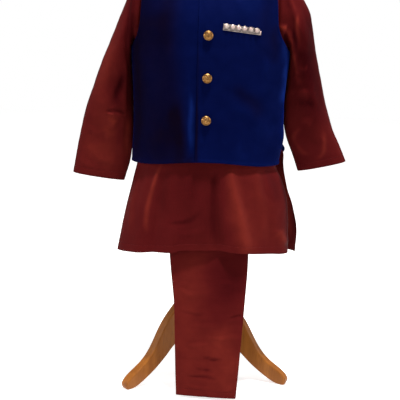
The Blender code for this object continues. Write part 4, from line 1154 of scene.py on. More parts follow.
# the sleeves hang over the armholes' lower ends; each row is a garment, its highest point met and the gap
underSleeve = [(treeOf(item), 719, 0.4) for item in (kurtaFront, kurtaBack)]
underSleeve += [(treeOf(item), 711, 0.7) for item in (jacketRight, jacketLeft, jacketBack)]
sleeves, sleeveLines = {}, {}
for name, piece in sleevePieces.items():
    sleeves[name], sleeveLines[name] = buildSleeve(name, piece, underSleeve)
print("sleeves:", [len(s.data.polygons) for s in sleeves.values()])


# Band collars
collarPiece = {
    "lift": 0.5, "opening": 4.0, "radius": 46.0, "kurtaHeight": 26.5, "jacketHeight": 30.5, "columns": 170,
    "stitchRow": 13,
}


def buildCollar(name, surface, wall, height, material, soft):
    radius = collarPiece["radius"]
    opening = collarPiece["opening"] / 2 / radius
    first, last = opening + 0.09, 2 * math.pi - opening - 0.09
    phi = np.concatenate([opening + np.array([0, 0.25, 0.7, 1.4, 2.6]) / radius,
                          np.linspace(first, last, collarPiece["columns"]),
                          2 * math.pi - opening - np.array([2.6, 1.4, 0.7, 0.25, 0]) / radius])
    steps = np.array([0, 0.4, 1, 2, 3.5, 5.5, 8, 11, 14, 17, 20, 22.5, 24.5, 25.6, 26.2, 26.5])
    steps = steps * height / collarPiece["kurtaHeight"]
    level = body["neck"] + collarPiece["lift"] + steps
    level, phi = np.meshgrid(level, phi, indexing="ij")
    # the band's front corners are cut round
    fromFront = np.minimum(phi - opening, 2 * math.pi - opening - phi) * radius
    corner = 9.0 * np.clip(1 - fromFront / 9, 0, 1) ** 2
    share = (level - body["neck"]) / height
    level = level - corner * np.clip(share, 0, 1) ** 2
    inner = surface(level, phi)
    normals = normalOf(surface, level, phi)
    low = steps[:, None]
    top = height - low
    turned = np.maximum(1 - np.minimum(top, fromFront) / 1.0, 0) ** 2
    rise = 0.18 * unevenness(inner, (16, 16, 16), 61.0) - 0.5 * np.maximum(1 - low / 1.6, 0) ** 2
    rise += soft * (np.exp(-((top - 2.6) / 2.2) ** 2) - 0.6 * np.exp(-((top - 5.2) / 1.2) ** 2))
    outer = inner + normals * (wall + rise - 0.45 * wall * turned)[..., None]
    innerSide = inner + normals * (0.25 * wall * turned)[..., None]
    item = makeCloth(name, outer, innerSide, material)
    return item, outer, normals


kurtaCollar, collarOuter, collarNormals = buildCollar(
    "kurtaCollar", kurtaForm, body["cloth"], collarPiece["kurtaHeight"], silk, 0.1)
jacketCollar = buildCollar(
    "jacketCollar", jacketForm, body["velvet"], collarPiece["jacketHeight"], velvet, 0.3)[0]
print("collars:", len(kurtaCollar.data.polygons), len(jacketCollar.data.polygons))


# Folded pyjama
pyjamaPiece = {
    "table": SmoothTable("level left right half centre bow swing", (
        (5, -47, 73, 1.9, -163, 1, -7),
        (40, -49, 76, 1.8, -157, 1, -6),
        (110, -52, 81, 1.7, -145, 1, -4),
        (180, -55, 86, 1.7, -132, 2, -2),
        (290, -67, 92, 1.6, -111, 4, 0),
        (380, -72, 92, 1.5, -98, 6, 0),
        (470, -70, 86, 1.5, -86, 9, 0),
        (520, -66, 78, 1.4, -79, 11, 0),
        (575, -62, 66, 1.4, -74.5, 12, 0),
        (600, -62, 66, 1.4, -73.5, 12, 0))),
    "creases": (
        (6, 88, 42, 83, 3, 3.2, -1.7, 0.5),
        (-10, 66, 26, 60, 3, 3.4, -1.5, 0.5),
        (-22, 46, 34, 43, -3, 3.6, -1.8, 0.5),
        (4, 9, 18, 6, 1, 3.0, -1.4, 0.5),
        (-30, 110, 8, 116, 3, 5, 1.2, 0.4),
        (20, 128, 72, 134, 4, 5, 1.3, 0.5),
        (-40, 178, 4, 172, 3, 4.5, -1.4, 0.5),
        (58, 166, 84, 172, -2, 3.4, -1.8, 0.5),
        (-44, 222, -8, 214, 4, 7, 1.2, 0.5),
        (34, 246, 74, 236, 4, 8, 1.2, 0.5),
        (-30, 30, 14, 24, 2, 5, 1.0, 0.4),
        (36, 66, 66, 74, 2, 4.5, 1.0, 0.4),
        (52, 22, 68, 32, 1, 4, 1.0, 0.4),
        (-20, 150, 30, 146, -3, 7, 0.9, 0.5),
        (12, 440, 12, 350, 0, 14, -5.4, 0.2)),
    # painted light and shade: a painted shadow under the kurta's hem at the upper right and painted light lower
    # down
    "lies": (
        (40, 150, 62, 10, 0, 36, 0.48, 0),
        (-30, 300, -26, -20, 0, 42, 0.34, 0),
        (26, 300, 58, 200, 0, 24, -0.36, 0),
        (70, 300, 74, 216, 0, 22, -0.24, 0),
        (12, 86, 37, 83, 2, 3, -0.26, 0),
        (10, 62, 21, 61, 1, 3, -0.28, 0),
        (-18, 44, 32, 44, -2, 3, -0.18, 0),
        (10, 7, 17, 6, 0, 3, -0.3, 0)),
    "pitch": 7.4, "around": 96, "hem": 13.0, "hemRow": 8,
}


def legRing(level, turn, behind, narrow, extra):
    row = pyjamaPiece["table"].at(level)
    middle, half = (row["left"] + row["right"]) / 2, (row["right"] - row["left"]) / 2 - narrow + extra
    s, c = np.sin(turn), np.cos(turn)
    across = np.copysign(np.abs(s) ** 0.8, s)
    deep = (row["half"] + extra) * np.copysign(np.abs(c) ** 0.8, c)
    y = row["centre"] + behind - deep + row["bow"] * across ** 2 + row["swing"] * across
    return np.stack(np.broadcast_arrays(middle + half * across, y, level), -1)


def buildLeg(name, bottom, behind, narrow, share):
    hem = pyjamaPiece["hem"]
    near = [bottom + d for d in (0, 0.5, 1.3, 3, 5, 7.5, 10, hem - 0.8, hem, hem + 0.8, hem + 2)]
    levels = np.concatenate([near, stations((near[-1] + 2.4, 250, 2.6)), stations((254, 574.7, 5.5))])
    turn = np.linspace(0, 2 * math.pi, pyjamaPiece["around"], endpoint=False)
    turn = turn + 0.16 * np.sin(2 * turn)                      # closer together round the folded sides
    level, turn = np.meshgrid(levels, turn, indexing="ij")
    plain = legRing(level, turn, behind, narrow, body["cloth"])
    fromHem = level - bottom
    band = 1 - smooth(hem - 0.6, hem + 0.6, fromHem)
    groove = np.exp(-((fromHem - hem) / 0.9) ** 2)
    turned = np.maximum(1 - fromHem / 1.2, 0) ** 2
    extra = body["cloth"] + 0.18 * band - 0.28 * groove - 0.3 * turned
    outer = legRing(level, turn, behind, narrow, extra)
    inner = legRing(level, turn, behind, narrow, extra - 0.5 - 0.4 * band)
    # both walls of the flat tube bend together
    x, z = plain[..., 0], plain[..., 2]
    flat = np.stack([x, np.zeros_like(x), z], -1)
    bend = creaseRise(pyjamaPiece["creases"], x, z)
    bend += 1.2 * unevenness(flat, (60, 1, 34), 71.0) + 0.5 * unevenness(flat, (22, 1, 12), 77.0)
    bend *= share * smooth(560, 470, level)
    for grid in (outer, inner):
        grid[..., 1] -= bend
        grid[..., 2] += -2.4 * np.sin(x / 26) * smooth(60, 5, level) * share * smooth(-0.1, 3, fromHem)
    # painted light and shade on the front face: crease ridges lighter, hollows darker, and the listed strokes
    lie = (0.06 * bend + creaseRise(pyjamaPiece["lies"], x, z)) * (np.cos(turn) > 0)
    item = makeCloth(name, outer, inner, silk, lie, closed=True)
    path, normals = outer[pyjamaPiece["hemRow"]], ringNormals(outer)[pyjamaPiece["hemRow"]]

    def close(a):
        return np.concatenate([a, a[:1]])

    return item, [(close(path) + close(normals) * 0.12, close(normals))]


legFront, legFrontLines = buildLeg("pyjamaLegFront", 5.0, 0.0, 0.0, 1.0)
legBack, legBackLines = buildLeg("pyjamaLegBack", 7.0, pyjamaPiece["pitch"], 2.0, 0.75)


def buildWaistband():
    levels = np.concatenate([[575, 575.3, 576], stations((577, 598, 1.5)), [599, 599.7, 600]])
    turn = np.linspace(0, 2 * math.pi, 220, endpoint=False)
    level, turn = np.meshgrid(levels, turn, indexing="ij")
    plain = legRing(level, turn, pyjamaPiece["pitch"] / 2, 0.5, 3.0)
    run = runLength(plain, 1)
    low = np.minimum(level - 575, 600 - level)
    gathers = 0.45 * np.sin(run * 2 * math.pi / 6.3 + 0.8 * np.sin(level / 5)) * smooth(0, 3, low)
    rows = 0.25 * np.sin((level - 575) * 2 * math.pi / 6.25)
    turned = np.maximum(1 - low / 1.0, 0) ** 2
    outer = legRing(level, turn, pyjamaPiece["pitch"] / 2, 0.5, 2.4 + gathers + rows * 0.5 - 0.6 * turned)
    inner = legRing(level, turn, pyjamaPiece["pitch"] / 2, 0.5, 0.2 + 0.3 * turned)
    return makeCloth("pyjamaWaistband", outer, inner, silk, closed=True)


waistband = buildWaistband()
print("pyjama:", [len(o.data.polygons) for o in (legFront, legBack, waistband)])

kurtaStitches = stitchMesh("kurtaStitches", frontLines + backLines, thread)
sleeveStitches = {name: stitchMesh(name + "Stitches", lines, thread) for name, lines in sleeveLines.items()}
legStitches = [stitchMesh("legFrontStitches", legFrontLines, thread),
               stitchMesh("legBackStitches", legBackLines, thread)]
collarPath = collarOuter[collarPiece["stitchRow"], 8:-8]
collarOut = collarNormals[collarPiece["stitchRow"], 8:-8]
collarStitches = stitchMesh(
    "collarStitches", [(collarPath + collarOut * 0.1, collarOut)], thread, 2.6, 1.9, 0.28)
print("stitches ready")


# Hard pieces: modelled from primitives in edit mode
def clearSelection():
    if bpy.context.object and bpy.context.object.mode != "OBJECT":
        bpy.ops.object.mode_set(mode="OBJECT")
    bpy.ops.object.select_all(action="DESELECT")


def takeNew(name, material):
    item = bpy.context.object
    item.name = item.data.name = name
    item.data.materials.clear()
    item.data.materials.append(material)
    return item


def applyModifiers(item):
    clearSelection()
    item.select_set(True)
    bpy.context.view_layer.objects.active = item
    for modifier in list(item.modifiers):
        bpy.ops.object.modifier_apply(modifier=modifier.name)
    return item


def settle(item, angle=35):
    # place, turn and scale go into the mesh; faces point outwards
    applyModifiers(item)
    bpy.ops.object.transform_apply(location=True, rotation=True, scale=True)
    bpy.ops.object.mode_set(mode="EDIT")
    bpy.ops.mesh.select_all(action="SELECT")
    bpy.ops.mesh.remove_doubles(threshold=0.00001)
    bpy.ops.mesh.normals_make_consistent(inside=False)
    bpy.ops.object.mode_set(mode="OBJECT")
    bpy.ops.object.shade_smooth_by_angle(angle=math.radians(angle))
    return item


def turnedPiece(name, profile, steps, material):
    # One vertex is drawn along the profile (radius, height in mm) and spun about the z axis.
    clearSelection()
    bpy.ops.mesh.primitive_plane_add(size=0.01, location=(0, 0, 0))
    item = takeNew(name, material)
    bpy.ops.object.mode_set(mode="EDIT")
    bpy.ops.mesh.select_all(action="SELECT")
    bpy.ops.mesh.merge(type="CENTER")
    bpy.ops.transform.translate(value=(profile[0][0] * mm, 0, profile[0][1] * mm))
    for (r0, z0), (r1, z1) in zip(profile, profile[1:]):
        step = ((r1 - r0) * mm, 0, (z1 - z0) * mm)
        bpy.ops.mesh.extrude_vertices_move(TRANSFORM_OT_translate={"value": step})
    bpy.ops.mesh.select_all(action="SELECT")
    bpy.ops.mesh.spin(steps=steps, angle=2 * math.pi, center=(0, 0, 0), axis=(0, 0, 1))
    bpy.ops.mesh.select_all(action="SELECT")
    bpy.ops.mesh.remove_doubles(threshold=0.00001)
    bpy.ops.mesh.normals_make_consistent(inside=False)
    bpy.ops.object.mode_set(mode="OBJECT")
    return item


def placeOnPanel(x, z):
    # the over front's outer points and normals at places seen from the front
    x, z = np.broadcast_arrays(np.asarray(x, float), np.asarray(z, float))
    level, phi = z.copy(), np.zeros(x.shape)
    for _ in range(20):
        p = jacketOver(level, phi)
        phi = phi + (x - p[..., 0]) / 150
        level = level + z - p[..., 2]
    n = normalOf(jacketOver, level, phi)
    return jacketOver(level, phi) + n * body["velvet"], n


def matrixOn(point, out, spin=0.0):
    # local z points out of the panel, local x to the viewer's right
    zAxis = Vector(out)
    xAxis = Vector((1, 0, 0)) - zAxis * zAxis.x
    xAxis.normalize()
    yAxis = zAxis.cross(xAxis)
    turn = Matrix((xAxis, yAxis, zAxis)).transposed().to_4x4()
    return Matrix.Translation(Vector(point) * mm + Vector(standPlace)) @ turn @ Matrix.Rotation(spin, 4, "Z")


def placeCopy(model, name, matrix):
    item = addObject(name, model.data.copy())
    item.matrix_world = matrix
    return item


def ball(name, material, size, away, angle, height, scale=(1, 1, 1), tilt=None):
    # size is radius, segments and rings; with a tilt, the local x axis also turns away from the z axis
    radius, segments, rings = size
    clearSelection()
    bpy.ops.mesh.primitive_uv_sphere_add(segments=segments, ring_count=rings, radius=radius * mm)
    item = takeNew(name, material)
    item.scale = scale
    if tilt is not None:
        item.rotation_euler = (0, math.radians(tilt), angle)
    item.location = (away * mm * math.cos(angle), away * mm * math.sin(angle), height * mm)
    return item


def joinPieces(items, name):
    clearSelection()
    for item in items:
        item.select_set(True)
    bpy.context.view_layer.objects.active = items[0]
    bpy.ops.object.join()
    made = bpy.context.object
    made.name = made.data.name = name
    return made


buttonPiece = {
    "places": ((0.5, 817.0), (-1.0, 733.0), (-1.0, 649.0), (-1.0, 565.0)), "gap": 0.3,
    "petals": 8, "beads": 26, "spins": (0.3, 0.9, 0.1, 0.55),
    # distance from the middle and height
    "profile": (
        (0, 6.3), (1.5, 6.25), (3.0, 6.05), (4.6, 5.6), (6.0, 4.95), (6.6, 4.6), (6.75, 4.75), (7.1, 4.95),
        (7.45, 4.75), (7.6, 4.3), (8.4, 3.75), (9.1, 3.15), (9.55, 2.6), (9.75, 2.2), (9.7, 1.8), (9.3, 1.5),
        (8.4, 1.35), (3.4, 1.3), (3.1, 1.0), (3.0, 0.0), (0, 0)),
}


def buildButton():
    petals, beads = buttonPiece["petals"], buttonPiece["beads"]
    parts = [turnedPiece("buttonModel", buttonPiece["profile"], 72, gold)]
    for k in range(petals):                                      # raised rosette
        angle = 2 * math.pi * k / petals
        parts.append(ball("petal", gold, (1.0, 14, 8), 3.55, angle, 5.85, (2.0, 0.95, 0.55), 13))
    parts.append(ball("heart", gold, (1.25, 20, 10), 0, 0, 6.2, (1, 1, 0.6)))
    for k in range(beads):                                       # beaded rim
        parts.append(ball("bead", gold, (0.62, 8, 6), 8.45, 2 * math.pi * k / beads, 3.75))
    return joinPieces(parts, "buttonModel")


buttonModel = buildButton()
buttons = []
for number, ((x, z), spin) in enumerate(zip(buttonPiece["places"], buttonPiece["spins"]), 1):
    seat, out = placeOnPanel(x, z)
    matrix = matrixOn(seat + out * buttonPiece["gap"], out, spin)
    buttons.append(settle(placeCopy(buttonModel, f"jacketButton{number}", matrix), 40))
bpy.data.objects.remove(buttonModel, do_unlink=True)
print("buttons:", len(buttons[0].data.polygons))


trimPiece = {
    "start": (27.0, 744.0), "slope": math.radians(-6.2), "stones": 6, "pitch": 12.1, "radius": 5.7,
    "band": 2.4, "gap": 0.3, "steps": 36,
    "cup": (
        (0, 0.1), (4.6, 0.1), (5.2, 0.3), (5.45, 1.2), (5.3, 1.75), (5.0, 1.9), (4.75, 1.6), (4.6, 0.8),
        (0, 0.8)),
}


def trimPlace(s, w):
    slope = trimPiece["slope"]
    x = trimPiece["start"][0] + s * math.cos(slope) - w * math.sin(slope)
    z = trimPiece["start"][1] + s * math.sin(slope) + w * math.cos(slope)
    seat, out = placeOnPanel(x, z)
    return seat + out * trimPiece["gap"], out


def buildStone():
    # a faceted, domed stone in a beaded cup with four claws
    cup = turnedPiece("stoneCup", trimPiece["cup"], 40, silver)
    clearSelection()
    bpy.ops.mesh.primitive_cone_add(
        vertices=12, radius1=4.75 * mm, radius2=4.2 * mm, depth=1.2 * mm, location=(0, 0, 1.4 * mm))
    gem = takeNew("gem", stone)
    bpy.ops.object.mode_set(mode="EDIT")
    bpy.ops.mesh.select_all(action="DESELECT")
    shape = bmesh.from_edit_mesh(gem.data)
    for face in shape.faces:
        face.select = face.normal.z > 0.9
    bmesh.update_edit_mesh(gem.data)
    for inset, lift, turn in ((0.9, 0.75, 15), (1.15, 0.55, 15)):
        bpy.ops.mesh.inset(thickness=inset * mm)
        bpy.ops.transform.translate(value=(0, 0, lift * mm))
        bpy.ops.transform.rotate(value=math.radians(turn), orient_axis="Z", center_override=(0, 0, 0))
    bpy.ops.object.mode_set(mode="OBJECT")
    bevel = gem.modifiers.new("softEdge", "BEVEL")
    bevel.width, bevel.segments = 0.12 * mm, 2
    parts = [cup, gem]
    for k in range(4):
        angle = math.pi / 4 + k * math.pi / 2
        parts.append(ball("claw", silver, (0.75, 10, 8), 4.75, angle, 1.9, (1.25, 0.8, 0.8), 25))
    for part in parts:
        applyModifiers(part)
        bpy.ops.object.transform_apply(location=True, rotation=True, scale=True)
    return joinPieces(parts, "stoneModel")


def sweepBar(name, places, low, high, thick, material):
    # a flat bar that follows the panel from one place to the next
    clearSelection()
    bpy.ops.mesh.primitive_grid_add(x_subdivisions=len(places) - 1, y_subdivisions=6, size=1)
    item = takeNew(name, material)
    across = [low, low + 0.25, low + 0.5, (low + high) / 2, high - 0.5, high - 0.25, high]
    lift = [0.0, 0.75, 0.95, 1.0, 0.95, 0.75, 0.0]
    place, width = np.meshgrid(places, across)
    seat, out = trimPlace(place.ravel(), width.ravel())
    raised = seat + out * (0.15 + thick * np.repeat(lift, len(places)))[:, None]
    item.data.vertices.foreach_set("co", (raised * mm + standPlace).ravel())
    solid = item.modifiers.new("plate", "SOLIDIFY")
    solid.thickness, solid.offset = 0.12 * mm, -1
    return item


def buildTrim():
    model = buildStone()
    parts = []
    length, band = trimPiece["stones"] * trimPiece["pitch"], trimPiece["band"]
    for k in range(trimPiece["stones"]):
        seat, out = trimPlace((k + 0.5) * trimPiece["pitch"], band + trimPiece["radius"])
        parts.append(settle(placeCopy(model, f"stone{k + 1}", matrixOn(seat + out * 0.9, out, 0.35 * k)), 25))
    bpy.data.objects.remove(model, do_unlink=True)
    along = [length * k / trimPiece["steps"] for k in range(trimPiece["steps"] + 1)]
    # the ledge under the stones, the plain plate behind them and the upright end piece
    for bar in (("ledge", along, 0.0, band, 0.9, silver),
                ("backPlate", along, band + 0.3, 12.2, 0.55, silver),
                ("endPiece", [length + 0.5 * k for k in range(7)], 0.3, 8.2, 1.5, stone)):
        parts.append(settle(sweepBar(*bar), 50))
    return joinPieces(parts, "pocketTrim")


pocketTrim = buildTrim()
print("trim:", len(pocketTrim.data.polygons))

standPieces = {
    "hubRadius": 25.0, "hubBottom": 92.0, "hubTop": 212.0, "formBase": 470.0, "formTop": 940.0,
    "legThickness": 21.0, "bearings": (-52.0, 68.5, 188.5), "gap": 0.3,
    # upper and lower outline of a leg: distance from the pole and height
    "legPairs": (
        (25.3, 200, 25.3, 106), (44, 188, 44, 98), (68, 164, 67, 85), (88, 144, 85, 70), (104, 124, 100, 54),
        (117, 100, 115, 41), (129, 78, 130, 29), (144, 58, 147, 18), (163, 43, 163, 8), (182, 32, 178, 1.0),
        (196, 21, 191, 0.0), (202.5, 11, 198.5, 0.6)),
}


def buildLegModel():
    pairs = standPieces["legPairs"]
    clearSelection()
    bpy.ops.mesh.primitive_plane_add(size=1)
    item = takeNew("legModel", wood)
    first = [(pairs[0][0], pairs[0][3]), (pairs[0][0], pairs[0][1])]
    second = [(pairs[1][2], pairs[1][3]), (pairs[1][0], pairs[1][1])]
    order = {0: first[0], 1: second[0], 2: first[1], 3: second[1]}
    for index, (r, z) in order.items():
        item.data.vertices[index].co = (r * mm, 0, z * mm)
    bpy.ops.object.mode_set(mode="EDIT")
    for upperR, upperZ, lowerR, lowerZ in pairs[2:]:
        shape = bmesh.from_edit_mesh(item.data)
        for v in shape.verts:
            v.select = False
        verts = list(shape.verts)
        ends = [verts[1], verts[3]] if len(verts) == 4 else verts[-2:]
        for v in ends:
            v.select = True
        shape.select_flush(True)
        for e in shape.edges:
            e.select = e.verts[0] in ends and e.verts[1] in ends
        bmesh.update_edit_mesh(item.data)
        bpy.ops.mesh.extrude_edges_move()
        shape = bmesh.from_edit_mesh(item.data)
        moved = sorted([v for v in shape.verts if v.select], key=lambda v: v.co.z)
        moved[0].co = (lowerR * mm, 0, lowerZ * mm)
        moved[1].co = (upperR * mm, 0, upperZ * mm)
        bmesh.update_edit_mesh(item.data)
    bpy.ops.object.mode_set(mode="OBJECT")
    solid = item.modifiers.new("board", "SOLIDIFY")
    solid.thickness, solid.offset = standPieces["legThickness"] * mm, 0
    bevel = item.modifiers.new("edges", "BEVEL")
    bevel.width, bevel.segments, bevel.limit_method = 3.0 * mm, 3, "ANGLE"
    bevel.angle_limit = math.radians(60)
    smoothing = item.modifiers.new("smooth", "SUBSURF")
    smoothing.levels = smoothing.render_levels = 2
    return applyModifiers(item)


legModel = buildLegModel()
legs = []
for number, bearing in enumerate(standPieces["bearings"], 1):
    turned = Matrix.Rotation(math.radians(bearing - 90), 4, "Z")
    matrix = Matrix.Translation(Vector(standPlace)) @ turned
    legs.append(settle(placeCopy(legModel, f"standLeg{number}", matrix), 60))
bpy.data.objects.remove(legModel, do_unlink=True)

hubRadius, hubTop, hubBottom = standPieces["hubRadius"], standPieces["hubTop"], standPieces["hubBottom"]
hub = turnedPiece("standHub", (
    (0, hubTop), (15, hubTop), (18.5, hubTop - 0.6), (21.5, hubTop - 2.4), (24, hubTop - 5),
    (hubRadius, hubTop - 8.5), (hubRadius, hubBottom + 9), (24.4, hubBottom + 5.5), (22.5, hubBottom + 2.2),
    (19.5, hubBottom + 0.4), (17, hubBottom), (0, hubBottom)), 96, wood)
pole = turnedPiece("standPole", (
    (0, 469.7), (10.2, 469.7), (11, 468.9), (11, 214.0), (10.6, 212.3), (0, 212.3)), 72, wood)
cap = turnedPiece("formCap", (
    (0, 42), (3.5, 41.8), (6.8, 41), (9.6, 39.4), (11.8, 37), (13, 34), (12.9, 30.8), (11.7, 27.9), (9.4, 25.2),
    (7.6, 23.4), (7.2, 21.4), (7.7, 19.6), (9.4, 17.9), (13, 16.4), (20, 14.8), (30, 13), (38, 11.6),
    (43.4, 9.6), (45.8, 7.6), (47, 5), (47, 1.8), (46.4, 0.6), (45.2, 0), (0, 0)), 112, wood)
for item in (hub, pole):
    item.location = Vector(standPlace)
cap.location = Vector(standPlace) + Vector((0, 4, standPieces["formTop"] + standPieces["gap"])) * mm
for item in (hub, pole, cap):
    settle(item, 35)
print("stand:", len(legs[0].data.polygons), len(hub.data.polygons), len(cap.data.polygons))

formTable = SmoothTable(sectionColumns, (
    (470, 92, 92, 60, 68, 2, 2.2, 0, 0, 0),
    (480, 98, 98, 62, 72, 2, 2.2, 0, 0, 0),
    (540, 103, 103, 64.2, 75, 2, 2.2, 0, 0, 0),
    (600, 97, 97, 64.5, 68, 0, 2.2, 0, 0, 0),
    (680, 103, 103, 74, 72, 0, 2.2, 1, 0, 0),
    (740, 111, 111, 78, 75, 0, 2.2, 5, -1, 0),
    (780, 118, 118, 76, 75, 1, 2.2, 12, -3, 0),
    (820, 124, 124, 68.5, 72, 2, 2.2, 24, -6, 0),
    (840, 127, 127, 60, 66.5, 3, 2.25, 33.5, -7.6, 0),
    (851, 128.3, 128.3, 54, 61, 4, 2.3, 41, -6.6, 0)))


def formLower(level, phi):
    return sectionPoint(formTable, formTable, level, phi)


def buildForm():
    base, crown = standPieces["formBase"], standPieces["formTop"]
    phi = np.linspace(0, 2 * math.pi, 144, endpoint=False)
    low = np.concatenate([[470, 470.4, 471.2, 472.6, 475], stations((479, 846, 6.0)), [851]])
    lowLevel, lowPhi = np.meshgrid(low, phi, indexing="ij")
    highLevel, highPhi = np.meshgrid(stations((864, 925, 1.6)), phi, indexing="ij")
    edge = 2.5 * np.maximum(1 - (lowLevel - base) / 5, 0) ** 2
    lower = formLower(lowLevel, lowPhi) - normalOf(formLower, lowLevel, lowPhi) * edge[..., None]
    inset = body["layer"] + 0.25 + 2.6 * np.clip((highLevel - 885) / 16, 0, 1)
    upper = kurtaForm(highLevel, highPhi) - normalOf(kurtaForm, highLevel, highPhi) * inset[..., None]
    top = upper[-1:].copy()
    top[..., 2] = crown - 1.0
    last = top.copy()
    last[..., 2] = crown
    last[..., :2] = last[..., :2] * 0.985
    outer = np.concatenate([lower, upper, (upper[-1:] + top) / 2, top, last])
    # piped seams down the front, the back and the sides
    seams = np.exp(-(outer[..., 0] / 1.1) ** 2) + np.exp(-((outer[..., 1] - 3) / 1.1) ** 2)
    outer = outer - ringNormals(outer) * (0.25 * np.minimum(seams, 1))[..., None]
    rows, count = outer.shape[:2]
    points = outer.reshape(-1, 3).tolist()
    faces = [(i * count + j, i * count + (j + 1) % count, (i + 1) * count + (j + 1) % count, (i + 1) * count + j)
             for i in range(rows - 1) for j in range(count)]
    for row in (0, rows - 1):                                    # closed by shrinking rings
        ring = list(range(row * count, (row + 1) * count))
        middle = outer[row].mean(axis=0)
        for share in (0.9, 0.6, 0.3):
            new = list(range(len(points), len(points) + count))
            points += (middle + (outer[row] - middle) * share).tolist()
            faces += [(ring[j], ring[(j + 1) % count], new[(j + 1) % count], new[j]) for j in range(count)]
            ring = new
        points.append(middle.tolist())
        faces += [(ring[j], ring[(j + 1) % count], len(points) - 1) for j in range(count)]
    points = np.array(points)
    mesh = newMesh("formBody", points, faces)
    loops = np.zeros(len(mesh.loops), int)
    mesh.loops.foreach_get("vertex_index", loops)
    around = np.arctan2(points[:, 0], -points[:, 1]) * 0.1
    uv = np.stack([around[loops], points[loops, 2] * mm], 1)
    mesh.uv_layers.new(name="cloth").data.foreach_set("uv", uv.reshape(-1).astype(np.float32))
    return finishMesh(mesh, cover, 50)


formBody = buildForm()
print("form:", len(formBody.data.polygons))


# What stands for which node, and the cut of each sheet
standsFor = (
    (kurtaFront, "kurta_front", "silk"), (kurtaBack, "kurta_back", "silk"),
    (kurtaCollar, "kurta_collar", "silk"), (sleeves["sleeveLeft"], "kurta_sleeve_left", "silk"),
    (sleeves["sleeveRight"], "kurta_sleeve_right", "silk"),
    (jacketRight, "jacket_front_right", "velvet"), (jacketLeft, "jacket_front_left", "velvet"),
    (jacketBack, "jacket_back", "velvet"), (jacketCollar, "jacket_collar", "velvet"),
    (legFront, "pyjama_leg_front", "silk"), (legBack, "pyjama_leg_back", "silk"),
    (waistband, "pyjama_waistband", "silk"), (pocketTrim, "jacket_pocket_trim", "stone_trim"),
    (formBody, "form_torso", "form_cover"), (cap, "form_neck_cap", "wood"),
    (hub, "stand_hub", "wood"), (pole, "stand_pole", "wood"),
    *((item, f"jacket_button_{k}", "button_metal") for k, item in enumerate(buttons, 1)),
    *((item, f"stand_leg_{k}", "wood") for k, item in enumerate(legs, 1)),
)
for item, name, slot in standsFor:
    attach(item, "root")
    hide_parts(name)
for item in (kurtaStitches, *sleeveStitches.values(), *legStitches, collarStitches):
    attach(item, "root")

# width and length of the cut, its area, how it is held, what carries it, and its stitches
cuts = {
    kurtaFront: ((0.42, 0.63), 0.195, "draped", ["form_torso"], [kurtaStitches]),
    kurtaBack: ((0.46, 0.64), 0.205, "draped", ["form_torso"], []),
    sleeves["sleeveLeft"]: ((0.32, 0.40), 0.096, "hung", [kurtaFront], [sleeveStitches["sleeveLeft"]]),
    sleeves["sleeveRight"]: ((0.32, 0.43), 0.103, "hung", [kurtaFront], [sleeveStitches["sleeveRight"]]),
    kurtaCollar: ((0.31, 0.030), None, "stretched", ["form_torso"], [collarStitches]),
    jacketRight: ((0.22, 0.44), 0.064, "draped", [kurtaFront], []),
    jacketLeft: ((0.24, 0.44), 0.070, "draped", [kurtaFront], []),
    jacketBack: ((0.40, 0.45), 0.140, "draped", [kurtaBack], []),
    jacketCollar: ((0.33, 0.034), None, "stretched", [kurtaCollar], []),
    legFront: ((0.34, 0.59), 0.17, "folded", [waistband], [legStitches[0]]),
    legBack: ((0.34, 0.59), 0.17, "folded", [waistband], [legStitches[1]]),
    waistband: ((0.30, 0.028), None, "gathered", ["form_torso"], []),
}


def areaOf(item):
    return sum(p.area for p in item.data.polygons) / 2


for item, (flat, area, held, carriers, extras) in cuts.items():
    print(item.name, "measured half surface", round(areaOf(item), 4), "cut", area or flat[0] * flat[1])

# Floor, light and camera
studio = {
    "floor": (0.90, 0.90, 0.90), "floorGlow": 0.26,
    "world": (1.0, 1.0, 1.0), "ambient": 0.25, "backdrop": 1.0, "seenGlow": 0.74,
    # name, place, size, brightness, colour; each lamp aims at the same point
    "aim": (0.0, -0.05, 0.5),
    "lights": (
        ("topLight", (0.22, -0.46, 2.8), 0.28, 1.5, (1.0, 0.985, 0.96)),
        ("leftLight", (-2.4, -0.2, 1.2), 0.6, 0.20, (1.0, 0.98, 0.95)),
        ("rightLight", (2.4, -0.2, 1.2), 0.6, 0.25, (1.0, 0.98, 0.95)),
        ("frontLeftLight", (-1.9, -1.6, 1.1), 0.6, 0.10, (1.0, 0.98, 0.95))),
    "camera": (-0.0090, -1.90, 0.75), "lens": 81.0, "sensor": 36.0, "tilt": 10.9, "roll": 1.5,
}
clearSelection()
bpy.ops.mesh.primitive_plane_add(size=12, location=(0, 0, -0.0004))
floor = bpy.context.object
floor.name = "floor"
floorMaterial, floorTree, floorShader = newMaterial("paleFloor", Roughness=0.75, Specular_IOR_Level=0.2)
floorPatches = useGroup(floorTree, patchGroup, (-600, 0), Broad=1.5, Fine=12.0, Grit=200.0, Seed=9.0)
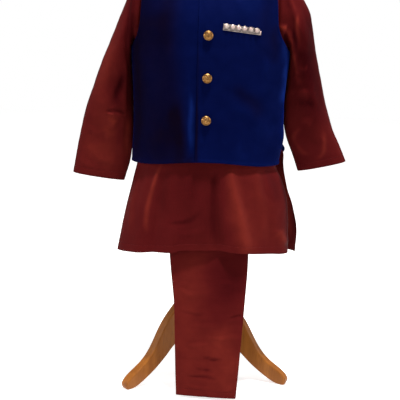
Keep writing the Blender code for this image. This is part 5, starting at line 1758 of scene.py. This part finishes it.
floorColour = mixColour(floorTree, (0, 0), floorPatches.outputs["Broad"], studio["floor"],
                        tuple(c * 0.985 for c in studio["floor"]))
floorTree.links.new(floorColour, floorShader.inputs["Base Color"])
floorShader.inputs["Emission Color"].default_value = (1, 1, 1, 1)
floorSeen = node(floorTree, "ShaderNodeLightPath", (0, -300))
floorGlow = node(floorTree, "ShaderNodeMapRange", (300, -300),
                 To_Min=studio["floorGlow"], To_Max=studio["seenGlow"])
floorTree.links.new(floorSeen.outputs["Is Camera Ray"], floorGlow.inputs["Value"])
floorTree.links.new(floorGlow.outputs[0], floorShader.inputs["Emission Strength"])
floor.data.materials.append(floorMaterial)

# the room lights the set softly; its walls look nearly white
world = bpy.data.worlds.new("studioWorld")
bpy.context.scene.world = world
world.use_nodes = True
room = world.node_tree.nodes["Background"]
room.inputs[0].default_value = (*studio["world"], 1)
seen = node(world.node_tree, "ShaderNodeLightPath", (-600, 0))
strength = node(world.node_tree, "ShaderNodeMapRange", (-300, 0),
                To_Min=studio["ambient"], To_Max=studio["backdrop"])
world.node_tree.links.new(seen.outputs["Is Camera Ray"], strength.inputs["Value"])
world.node_tree.links.new(strength.outputs[0], room.inputs[1])
for name, place, size, brightness, colour in studio["lights"]:
    away = Vector(place) - Vector(studio["aim"])
    data = bpy.data.lights.new(name, "AREA")
    data.shape, data.size, data.color = "DISK", size, colour
    data.energy = brightness * math.pi ** 2 * away.length_squared
    lamp = addObject(name, data)
    lamp.location = place
    lamp.rotation_euler = (-away).to_track_quat("-Z", "Y").to_euler()
bpy.context.scene.view_settings.view_transform = "Standard"

cameraData = bpy.data.cameras.new("camera")
cameraData.sensor_width, cameraData.lens = studio["sensor"], studio["lens"]
camera = addObject("camera", cameraData)
camera.location = Vector(studio["camera"]) + Vector(standPlace)
camera.rotation_euler = (Matrix.Rotation(math.radians(90 - studio["tilt"]), 3, "X")
                         @ Matrix.Rotation(math.radians(studio["roll"]), 3, "Z")).to_euler()
bpy.context.scene.camera = camera
